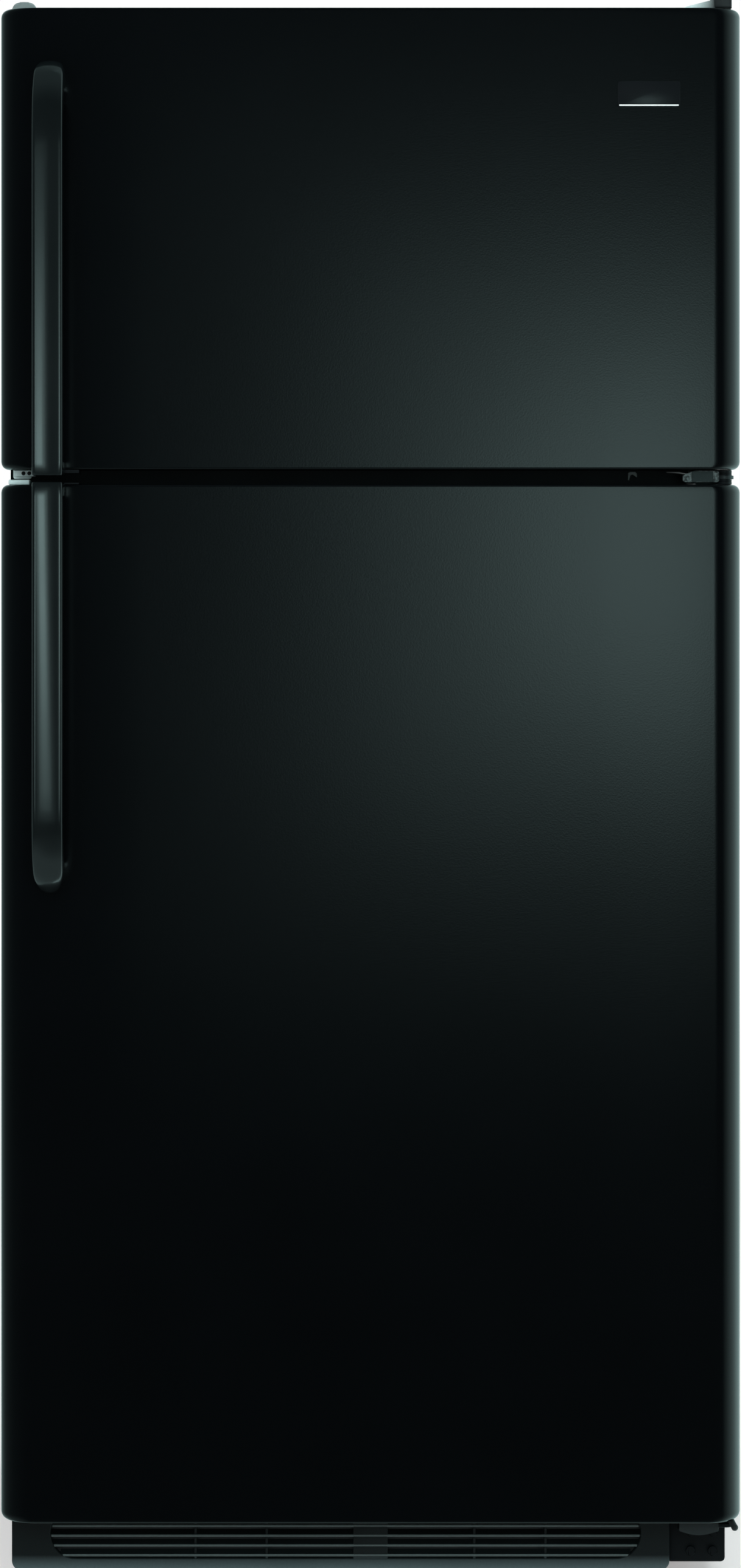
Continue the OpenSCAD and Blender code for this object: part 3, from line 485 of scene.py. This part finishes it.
def handle(name, node, length, tip_r, far_up, tab, body, middles):
    """Bar whose far end runs out into the door and whose near end stands on a leg."""
    middle = -HALF + HANDLE_IN
    stand, thick = 56, 14
    fullness = 0.8           # below 1 the curve is fuller than an ellipse

    def spot(t, x, height):
        shape = 1 - end_drop(max(t, 0.02) * 0.6, tip_r) / HANDLE_HALF
        z = tab[1] - length + t if not far_up else tab[1] + length - t
        return (middle + x * shape, DOOR_Y - height, z)

    def section(t):
        start, full = TIP_CROWN
        crown = min(1.0, max(0.0, (start - t) / (start - full)))
        share = min(1.0, max(0.0, (t - start) / (length - start)))
        centre = middles[0] + (middles[1] - middles[0]) * share
        return front_line(centre, crown * crown * (3 - 2 * crown)) + BACK

    rows = []
    for step in range(0, 91, 5):
        a = math.radians(step)
        along, up = 1 - abs(math.cos(a)) ** fullness, math.sin(a) ** fullness
        outer = (CURVE * along, stand * up)
        inner = (CURVE / 3 + CURVE * 0.47 * along, (stand - thick) * up)
        rows.append((outer, inner))
    for t in (110, 125, 140, 155, 200, 250, 300, 350, length - 16, length - 2):
        rows.append(((t, stand), (t, stand - thick)))
    bar = Shape()
    sections = []
    for outer, inner in rows:
        line = []
        for x, depth in section(outer[0]):
            k = depth / thick
            line.append(spot(outer[0] + (inner[0] - outer[0]) * k, x,
                             max(-0.4, outer[1] + (inner[1] - outer[1]) * k)))
        sections.append(line)
    for t, inset in ((length - 0.6, 0.5), (length, 1.8)):
        sections.append([spot(t, x * (1 - inset / HANDLE_HALF),
                              stand - inset - (depth * (thick - 2 * inset) / thick))
                         for x, depth in section(t)])
    bar.loft(sections)
    near = sorted((tab[1] + (0.2 if far_up else -0.2),
                   tab[1] + (15 if far_up else -15)))
    bar.box((middle - 15.2, middle + 15.2), (DOOR_Y - stand + 8, DOOR_Y + 0.4), near, 2.2, 3)
    bar.done(name, body, "handle", [node], sharp=42)
    foot = Shape()
    foot.box((middle - 15.4, middle + 29), (DOOR_Y, DOOR_Y + 38), tab[2:], 0.5)
    foot.done(name + "_foot", body, "black_steel")


freezer_bar, fridge_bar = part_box("freezer_handle"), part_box("fridge_handle")
to_mm = 1 / MM
low, high = freezer_bar[0].z * to_mm, freezer_bar[1].z * to_mm
handle("freezer_door_bar", "freezer_handle", high - low, 9, True,
       (0, low, 1162.6, 1166.3), "freezer_door", (-9, -7.5))
low, high = fridge_bar[0].z * to_mm, fridge_bar[1].z * to_mm
handle("fridge_door_bar", "fridge_handle", high - low, 14.5, False,
       (0, high, 1151.2, 1153), "fridge_door", (-1, -6))

door_shell("freezer_door", FREEZER_Z, "freezer_door")
door_shell("fridge_door", FRIDGE_Z, "fridge_door")
inner_door("freezer_door", FREEZER_Z, 296, (1215, 1556), (1340, 1372, 1520), "freezer_door")
inner_door("fridge_door", FRIDGE_Z, 305, (185, 1059), (365, 395, 570, 600, 790, 820),
           "fridge_door")
door_seal("freezer_door", (1178, 1628), "freezer_door")
door_seal("fridge_door", (112, 1142), "fridge_door")


# ---------------------------------------------------------------- door racks

def ribbon(shape, path, thick, bottom, tops):
    """Wall of one thickness along a path in plan, with its own top height at each point."""
    sections = []
    for i, p in enumerate(path):
        a, b = path[max(0, i - 1)], path[min(len(path) - 1, i + 1)]
        t = Vector((b[0] - a[0], b[1] - a[1])).normalized()
        n = Vector((-t.y, t.x))
        at = lambda k, z: (p[0] + n.x * k, p[1] + n.y * k, z)
        top, c = tops[i], thick * 0.3
        sections.append([at(0, bottom), at(thick, bottom), at(thick, top - c),
                         at(thick - c, top), at(c, top), at(0, top - c)])
    shape.loft(sections)


def rack(shape, x, z, height, back=-158, door_side=-274):
    """Round-cornered tray with low ends, a tall front and a thick front rim."""
    r, n = 16, 7
    path = [(x[0], door_side), (x[0], -240), (x[0], back - r)]
    tops = [0.66, 0.68, 0.74]
    for cx, start in ((x[0] + r, 180), (x[1] - r, 90)):
        for i in range(n + 1):
            a = math.radians(start - 90 * i / n)
            path.append((cx + r * math.cos(a), back - r + r * math.sin(a)))
            share = i / n if start == 180 else 1 - i / n
            tops.append(0.76 + 0.24 * share)
        if start == 180:
            path += [((x[0] + x[1]) / 2, back)]
            tops.append(1.0)
    path += [(x[1], back - r), (x[1], -240), (x[1], door_side)][1:]
    tops += [0.68, 0.66]
    ribbon(shape, path, -3, z, [z + height * t for t in tops])
    front = [p for p in path if p[1] > back - r - 1]
    shape.tube([(px, py - 2.4, z + height - 3.2) for px, py in front[1:-1]], 2.3, 8)
    floor = [(x[0] + 1, door_side)] + [(px, py - 0.8) for px, py in front] + [
        (x[1] - 1, door_side)]
    shape.prism(floor, z, z + 3, "z", 0.5)
    for i in range(1, 8):
        rib = x[0] + (x[1] - x[0]) * i / 8
        shape.box((rib - 1.2, rib + 1.2), (back - 4.4, back - 2.6), (z + 2, z + height - 6), 0.5)


shape = Shape()
for low in (1227.5, 1400):
    rack(shape, (-283.5, 283.5), low, 72)
shape.done("freezer_door_trays", "freezer_door", "rack",
           ["freezer_door_racks"])
shape = Shape()
for low, tall in ((200, 118), (440, 82), (660, 82)):
    rack(shape, (-292.5, 292.5), low, tall)
rack(shape, (10, 292.5), 890, 74)
shape.box((-270, -10), (-274, -170), (945, 948), 0.8)
shape.box((-270, -10), (-274, -170), (1055, 1058), 0.8)
for x in (-270, -13):
    shape.prism(rounded((-274, -170), (945, 1058), 8), x, x + 3, "x", 0.8)
shape.done("fridge_door_trays", "fridge_door", "rack",
           ["fridge_door_racks"])
shape = Shape()
shape.tube([(-269.7, -180, 1044), (-10.3, -180, 1044)], 3, 14)
shape.prism(rounded((-266, -14), (950, 1046), 10), -179, -176.2, "y", 0.8, 3)
shape.box((-180, -100), (-177, -171), (953, 957), 1.4, 3)
shape.done("dairy_box_lid", "dairy_lid", "clear_plastic", ["dairy_lid"])


# ---------------------------------------------------------------- outside trim

shape = Shape()
shape.prism(rounded((253.5, 317.5), (1538.5, 1564.5), 2.4, 6), -339.4, DOOR_Y + 0.2, "y",
            0.5, 3)
shape.done("badge_plate", "freezer_door", "gloss_plate", ["nameplate"])
shape = Shape()
shape.box((255, 316), (-339.6, -339.1), (1539.3, 1540.7), 0.15)
shape.done("badge_rule", "freezer_door", "bright_line")

# Cover of the upper hinge: a dark rounded box on the right, and a ramp whose light grey,
# darkening towards the box, is painted sheen on the dark glossy plastic
shape = Shape()
shape.prism([(353.5, 1642.2), (372, 1642.2), (372, 1653.6), (371.5, 1656), (370.2, 1658.2),
             (368.2, 1659.5), (366, 1660), (358.4, 1660), (356.2, 1659.4), (354.6, 1658),
             (353.8, 1656), (353.5, 1653.6)], PIN_Y - 16, CAB_Y + 72, "y", 1.8, 4)
shape.box((345, 371.6), (CAB_Y, CAB_Y + 71), (1636.2, 1643.5), 0.8)
shape.done("hinge_cover_box", "cabinet", "black_plastic",
           ["top_hinge_cover"])
shape = Shape()
shape.prism([(323, 1641.7), (355, 1641.7), (355, 1650.8), (352, 1650.3), (326, 1643.7),
             (323.3, 1642.6)], PIN_Y - 15.6, CAB_Y + 70, "y", 0.5, 3)
shape.box((325, 350), (CAB_Y, CAB_Y + 70), (1636.2, 1643), 0.8)
shape.done("hinge_cover_ramp", "cabinet", "ramp")

# The corner cap is glossy black plastic shown mid grey: painted sheen of light from above
shape = Shape()
arch = [(-374, 1636.1)]
for i in range(19):
    a = math.radians(180 - 10 * i)
    arch.append((-361 + 13 * math.copysign(abs(math.cos(a)) ** 0.62, math.cos(a)),
                 1641 + 14 * math.sin(a) ** 0.62))
arch.append((-348, 1636.1))
shape.prism(arch, -264, -207, "y", 2.5, 4)
shape.done("corner_cap", "cabinet", "cap", ["top_corner_cap"])

# Left end of the gap: a cover with two screws on the cabinet, a pale block on the door
shape = Shape()
shape.prism(rounded((-372, -353), (1157.8, 1173.6), 2.2), -268, -264.9, "y", 0.5)
shape.prism([(-369, 1160.2), (-349, 1160.2), (-349, 1165.6), (-350, 1166.2),
             (-369, 1166.2)], -292, -266, "y", 0.8)
shape.done("gap_block", "cabinet", "plug", ["center_hole_plugs"])
shape = Shape()
for x in (-359.5, -353.5):
    shape.spin([(1.7, -292.8), (2.1, -292.5), (2.1, -291.6)], (x, 1163.2), "y", 16)
shape.done("gap_block_screws", "cabinet", "black_plastic")
shape = Shape()
shape.box((-372.5, -351), (-322, -296), (1150.9, 1156.2), 1.3, 3)
shape.done("door_top_block", "fridge_door", "top_block")

# Right end of the gap: spotted hinge leaf, its tongue, and a button on the middle rail
shape = Shape()
shape.prism([(322, 1155), (324.5, 1153.7), (357.5, 1153.7), (359.5, 1155), (359.5, 1163.6),
             (358, 1165.6), (336, 1165.6), (330, 1164.6), (325, 1161.8), (322, 1160.8)],
            -313.6, -310.4, "y", 0.5)
shape.done("hinge_leaf", "cabinet", "mottled_zinc")
shape = Shape()
shape.prism([(305, 1163.2), (318, 1163.2), (322, 1161.8), (330, 1161.8), (330, 1163),
             (322.5, 1163), (318.5, 1164.5), (305, 1164.5)], -311, -300, "y", 0.3)
shape.done("hinge_tongue", "cabinet", "zinc")
shape = Shape()
shape.spin([(5.6, 1151), (5.2, 1151.9), (3.4, 1152.7), (0.4, 1152.9)], (329, -329), "z", 20)
shape.done("door_top_plug", "fridge_door", "zinc")
shape = Shape()
for low in (1152.6, 1156.1, 1160.6, 1164.2):
    shape.spin([(8.0, low), (8.35, low + 0.1), (8.35, low + 0.5), (8.0, low + 0.6)],
               (PIN_X, PIN_Y), "z", 36)
shape.done("washer_rims", "cabinet", "dull_steel")
shape = Shape()
shape.prism([(268, 1156.5), (269.5, 1156.5), (270, 1162), (273, 1163), (277.4, 1158),
             (277.4, 1163), (275.5, 1165), (271, 1165.2), (268, 1164)], -271, -264.9, "y",
            0.6)
shape.done("rail_button", "cabinet", "cap")

# Bottom hinge: black plate, bracket, apron in front of it and the hook on the door
shape = Shape()
shape.prism(rounded((308, 368.8), (30.4, 84), 4, 5), CAB_Y - 4, CAB_Y, "y", 0.6)
shape.box((320, 362), (PIN_Y - 10, CAB_Y), (76, 80), 0.6)
shape.spin([(10.4, 76), (11, 76.5), (11, 79.5), (10.4, 80)], (PIN_X, PIN_Y), "z", 32)
shape.spin([(4, 79), (4, 96), (3.2, 97)], (PIN_X, PIN_Y), "z", 20)
for x in (320, 345):
    shape.prism([(CAB_Y - 4, 64), (CAB_Y - 4, 76), (PIN_Y - 6, 76)], x, x + 3, "x", 0.4)
shape.done("bottom_hinge_bracket", "cabinet", "black_steel",
           ["bottom_hinge"])
shape = Shape()
apron = [(338.25 + 20.25 * u / 8, 73 - 4.3 * math.cos(math.pi * u / 16)) for u in range(-8, 9)]
shape.prism([(318, 84)] + apron + [(358.5, 84)], -318, -315.2, "y", 0.6)
shape.done("bottom_hinge_apron", "cabinet", "apron")
shape = Shape()
shape.tube([(370, -313, 87), (371, -314.5, 84.5), (372.4, -316.5, 81.5), (374, -318.5, 78.8),
            (375, -319.6, 77.2)], 3.4, 14)
shape.spin([(0.2, 73.6), (2.2, 74.2), (3.3, 75.6), (3.6, 77.4), (3.0, 79)], (375, -319.8),
           "z", 16)
shape.done("door_stop_hook", "fridge_door", "foot", ["fridge_door_stop"])


# ---------------------------------------------------------------- toe grille

SLOT_X, SLOT_Z, SLOT_R = (-333, 281), (34, 88), 27
LOUVRES, LOUVRE_Z, LOUVRE_STEP = 5, 38.5, 10.2


def louvres():
    """Height of each louvre, and how far the round slot ends cut it back."""
    for k in range(LOUVRES):
        mid = LOUVRE_Z + LOUVRE_STEP * k
        off = mid - sum(SLOT_Z) / 2
        yield mid, SLOT_R - math.sqrt(SLOT_R ** 2 - off ** 2)


shape = Shape()
front, back = CAB_Y - 9, CAB_Y
shape.ring(rounded((-373, 311), (22, 97.5), 10, 9),
           rounded(SLOT_X, SLOT_Z, SLOT_R - 0.2, 9), front, back, "y", 0.9)
for mid, cut in louvres():
    blade = [(front + 0.9, mid - 1.7), (front + 0.6, mid - 0.6), (front + 0.9, mid + 0.5),
             (front + 2.0, mid + 0.9), (back - 1.5, mid + 4.6), (back - 1.2, mid + 3.3),
             (front + 2.4, mid - 1.5)]
    shape.prism(blade, SLOT_X[0] + cut - 1.5, SLOT_X[1] - cut + 1.5, "x", 0)
for rib in (-182, -108, 108, 182):
    shape.box((rib - 1.3, rib + 1.3), (front + 1.6, back - 1), SLOT_Z, 0.3)
shape.box((-18, 18), (front + 0.5, front + 4), (33.5, 88.5), 0.8)
shape.done("kick_grille", "cabinet", "grille", ["toe_grille"])
# Thin strips on the louvres' front lips in the lighter tone: painted highlight along the edges
shape = Shape()
for mid, cut in louvres():
    shape.prism([(front + 0.7, mid - 1.9), (front + 0.25, mid - 1.2), (front + 0.25, mid - 0.1),
                 (front + 0.7, mid + 0.5)], SLOT_X[0] + cut + 1, SLOT_X[1] - cut - 1, "x", 0)
shape.done("grille_edge_highlights", "cabinet", "grille_edge_highlight")
# A thin dark sheet just behind the grille's slots: painted shade of the dark space behind them
shape = Shape()
shape.box((-340, 290), (CAB_Y - 0.9, CAB_Y - 0.3), (30, 92), 0.1)
shape.done("grille_shade_sheet", "cabinet", "gasket")


# ---------------------------------------------------------------- compartments

def liner(name, node, half, profile, flange, ledges):
    """Open-fronted compartment: its side view extruded, corners rounded by a bevel."""
    skin = Shape()
    rows = []
    for x in (-half, half):
        rows.append([skin.bm.verts.new((x, y, z)) for y, z in profile])
    for i in range(len(profile) - 1):
        skin.bm.faces.new((rows[0][i], rows[0][i + 1], rows[1][i + 1], rows[1][i]))
    for row in rows:
        skin.bm.faces.new(row)
    skin.done(name, "cabinet", "liner", [node], bevel=14, thicken=-1.4)
    face = Shape()
    low, high = profile[0][1], profile[-1][1]
    face.ring(rounded(flange[0], flange[1], 3, 6), rounded((-half, half), (low, high), 12, 6),
              CAB_Y + 0.1, CAB_Y + 2.4, "y", 0.8)
    for y, z in ledges:
        for sign in (-1, 1):
            face.box(sorted((sign * (half - 6.5), sign * (half + 1))), y, z, 1.8, 3)
    face.done(name + "_face", "cabinet", "liner")


def arc(centre, r, start, stop, n=6):
    return [(centre[0] + r * math.cos(math.radians(start + (stop - start) * i / n)),
             centre[1] + r * math.sin(math.radians(start + (stop - start) * i / n)))
            for i in range(n + 1)]


liner("freezer_inside", "freezer_liner", 318,
      [(CAB_Y + 1, 1195)] + arc((322, 1213), 18, -90, 0) + arc((322, 1558), 18, 0, 90)
      + [(CAB_Y + 1, 1576)],
      ((-356.7, 356.7), (1193, 1617.7)), [((-125, 240), (1376, 1381))])
liner("fresh_food_inside", "fresh_food_liner", 327,
      [(CAB_Y + 1, 150)] + arc((97, 168), 18, -90, 0) + arc((127, 363), 12, 180, 90)
      + arc((317, 393), 18, -90, 0) + arc((317, 1107), 18, 0, 90) + [(CAB_Y + 1, 1125)],
      ((-356.7, 356.7), (100, 1127)),
      [((-123, 105), (z - 6, z - 0.3)) for z in (552, 728, 902, 354)])

shape = Shape()
for i in range(16):
    x = -303 + 40.4 * i
    shape.tube([(x, -131, 1372), (x, -134, 1376), (x, -134, 1381), (x, -131, 1385.6),
                (x, -126, 1387), (x, 234, 1387)], 2, 8)
for y in (-131, 60, 230):
    shape.tube([(-312.5, y, 1383), (312.5, y, 1383)], 2.6, 10)
shape.tube([(-310, -131.5, 1383), (-310, -131.5, 1369), (-307, -131.5, 1367),
            (307, -131.5, 1367), (310, -131.5, 1369), (310, -131.5, 1383)], 2.6, 10)
shape.done("wire_shelf", "cabinet", "white_wire", ["freezer_shelf"])


def drawer(name, node, x, body):
    """Clear crisper: tapered foot, round corners, rolled rim and a lip to pull."""
    y, z = (SHELF_FRONT, 108), (156, 342)
    level = lambda inset, w, r: [(u, v, w) for u, v in rounded(
        (x[0] + inset, x[1] - inset), (y[0] + inset, y[1] - inset), r, 6)]
    tub = Shape()
    tub.loft([level(10, z[0], 8), level(5, z[0] + 0.8, 11), level(2.2, z[0] + 4, 13),
              level(1.5, z[0] + 10, 14), level(1, z[1] - 14, 15), level(0.1, z[1] - 12, 15.5),
              level(0.1, z[1] - 0.6, 15.5), level(0.8, z[1], 15), level(2.6, z[1], 13.4),
              level(3.2, z[1] - 0.8, 13), level(3.6, z[1] - 14, 12.6),
              level(4.2, z[0] + 11, 11.6), level(6.5, z[0] + 5, 10), level(11, z[0] + 3, 7)])
    tub.box((x[0] + 60, x[1] - 60), (y[0] - 2.9, y[0] + 1.2), (z[1] - 26, z[1] - 20), 1.1, 3)
    tub.done(name, body, "clear_plastic", [node])


drawer("left_drawer", "left_crisper", (-322, -3), "left_crisper")
drawer("right_drawer", "right_crisper", (3, 322), "right_crisper")

# Pressed beads on the rear panel
shape = Shape()
for z in (420, 700, 980, 1260, 1540):
    shape.box((-330, 330), (CAB_BACK - 0.5, CAB_BACK + 2.6), (z - 9, z + 9), 2.4, 4)
shape.done("rear_beads", "cabinet", "zinc")


# ---------------------------------------------------------------- studio

floor = bpy.data.meshes.new("floor")
FLOOR_REACH = 25
floor.from_pydata([(x * FLOOR_REACH, y * FLOOR_REACH, 0)
                   for x, y in ((-1, -1), (1, -1), (1, 1), (-1, 1))], [], [(0, 1, 2, 3)])
floor = bpy.data.objects.new("floor", floor)
bpy.context.scene.collection.objects.link(floor)
floor.data.materials.append(LOOKS["floor"])
floor.visible_glossy = False

# The floor glows more with distance, so that it meets the white surroundings
tree = LOOKS["floor"].node_tree
place, reach, spread = (tree.nodes.new("ShaderNode" + kind)
                        for kind in ("TexCoord", "VectorMath", "MapRange"))
reach.operation = "LENGTH"
for socket, value in (("From Min", 2.5), ("From Max", 9), ("To Min", 0.35), ("To Max", 1.15)):
    spread.inputs[socket].default_value = value
tree.links.new(place.outputs["Object"], reach.inputs[0])
tree.links.new(reach.outputs["Value"], spread.inputs["Value"])
tree.links.new(spread.outputs["Result"],
               tree.nodes["Principled BSDF"].inputs["Emission Strength"])

TINT = (0.69, 1.0, 0.985)


def area_light(name, place, target, size, power, glossy=True, tint=TINT):
    data = bpy.data.lights.new(name, "AREA")
    data.shape, data.size, data.size_y = "RECTANGLE", *size
    data.energy, data.color = power, tint
    lamp = bpy.data.objects.new(name, data)
    bpy.context.scene.collection.objects.link(lamp)
    lamp.location = place
    aim = Vector(target) - Vector(place)
    lamp.rotation_mode = "QUATERNION"
    lamp.rotation_quaternion = aim.to_track_quat("-Z", "Y")
    lamp.visible_glossy = glossy
    lamp.visible_camera = False


# Soft box beside the camera that fades outwards, a broad fill and a soft ceiling
SOFTBOX = (0.7, -4.9, 1.11)
BOX_LAYERS = (((0.8, 0.7), 3.1), ((1.5, 1.2), 4.2), ((2.3, 1.9), 1.9))
for k, (size, power) in enumerate(BOX_LAYERS):
    x, y, z = SOFTBOX
    area_light("softbox_%d" % k, (x, y - 0.02 * k, z), (x, 0, z), size, power)
area_light("fill", (-0.6, -4.6, 2.6), (0, -0.2, 0.9), (3.2, 2.2), 150, False,
           (0.86, 1.0, 1.0))
area_light("ceiling", (0.3, -0.6, 4.2), (0, 0, 1.2), (3.6, 3.0), 110, False,
           (0.9, 1.0, 1.0))

WORLD_STRENGTH = 1.6
world = bpy.data.worlds.new("studio")
bpy.context.scene.world = world
world.use_nodes = True
tree = world.node_tree
tree.nodes.clear()
output = tree.nodes.new("ShaderNodeOutputWorld")
shown, glow = (tree.nodes.new("ShaderNodeBackground") for _ in range(2))
choose = tree.nodes.new("ShaderNodeMixShader")
rays = tree.nodes.new("ShaderNodeLightPath")
direction = tree.nodes.new("ShaderNodeTexCoord")
split = tree.nodes.new("ShaderNodeSeparateXYZ")
flip = tree.nodes.new("ShaderNodeMath")
flip.operation = "MULTIPLY"
flip.inputs[1].default_value = -1
turn = tree.nodes.new("ShaderNodeMath")
turn.operation = "ARCTAN2"
share = tree.nodes.new("ShaderNodeMapRange")
share.inputs["From Min"].default_value = -math.pi
share.inputs["From Max"].default_value = math.pi
ring = tree.nodes.new("ShaderNodeValToRGB")
link = tree.links.new
link(direction.outputs["Generated"], split.inputs[0])
link(split.outputs["Y"], flip.inputs[0])
link(split.outputs["X"], turn.inputs[0])
link(flip.outputs[0], turn.inputs[1])
link(turn.outputs[0], share.inputs["Value"])
link(share.outputs["Result"], ring.inputs["Fac"])
# Brightness round the horizon: degrees from the camera's side, positive to the right
AROUND = [(-180, 0.4), (-150, 0.2), (-110, 0.09), (-60, 0.04), (0, 0.015), (44, 0.03),
          (62, 0.27), (90, 0.7), (115, 1.0), (150, 0.6), (180, 0.4)]
# Light from the floor far below and from overhead: sine of the height above the horizon
UPWARDS = [(-1, 0.15), (-0.57, 0.15), (-0.28, 0.0), (0.5, 0.0), (0.87, 0.08), (1, 0.08)]
level = tree.nodes.new("ShaderNodeMapRange")
level.inputs["From Min"].default_value = -1
dome = tree.nodes.new("ShaderNodeValToRGB")
link(split.outputs["Z"], level.inputs["Value"])
link(level.outputs["Result"], dome.inputs["Fac"])
for ramp, levels in ((ring, [((a + 180) / 360, v) for a, v in AROUND]),
                     (dome, [((a + 1) / 2, v) for a, v in UPWARDS])):
    stops = ramp.color_ramp.elements
    while len(stops) > 1:
        stops.remove(stops[-1])
    for i, (position, value) in enumerate(levels):
        spot = stops[0] if i == 0 else stops.new(position)
        spot.position = position
        spot.color = [value * c for c in TINT] + [1]
# The horizon's light fades out overhead
fading = tree.nodes.new("ShaderNodeMapRange")
for socket, value in (("From Min", 0.45), ("From Max", 0.85), ("To Min", 1), ("To Max", 0.12)):
    fading.inputs[socket].default_value = value
link(split.outputs["Z"], fading.inputs["Value"])
faded, total = (tree.nodes.new("ShaderNodeVectorMath") for _ in range(2))
faded.operation = "SCALE"
link(ring.outputs["Color"], faded.inputs[0])
link(fading.outputs["Result"], faded.inputs["Scale"])
link(faded.outputs["Vector"], total.inputs[0])
link(dome.outputs["Color"], total.inputs[1])
link(total.outputs["Vector"], glow.inputs["Color"])
glow.inputs["Strength"].default_value = WORLD_STRENGTH
shown.inputs["Color"].default_value = (1, 1, 1, 1)
shown.inputs["Strength"].default_value = 1.0
link(rays.outputs["Is Camera Ray"], choose.inputs["Fac"])
link(glow.outputs[0], choose.inputs[1])
link(shown.outputs[0], choose.inputs[2])
link(choose.outputs[0], output.inputs["Surface"])

CAMERA_AWAY, CAMERA_HEIGHT, LENS = 4.5, 1.0915, 100.7
camera = bpy.data.objects.new("camera", bpy.data.cameras.new("camera"))
bpy.context.scene.collection.objects.link(camera)
camera.location = (0, DOOR_Y * MM - CAMERA_AWAY, CAMERA_HEIGHT)
camera.rotation_euler = (math.pi / 2, 0, 0)
camera.data.sensor_width, camera.data.lens = 36, LENS
camera.data.shift_y = -0.154
camera.data.clip_end = 100
bpy.context.scene.camera = camera
bpy.context.scene.view_settings.view_transform = "Standard"
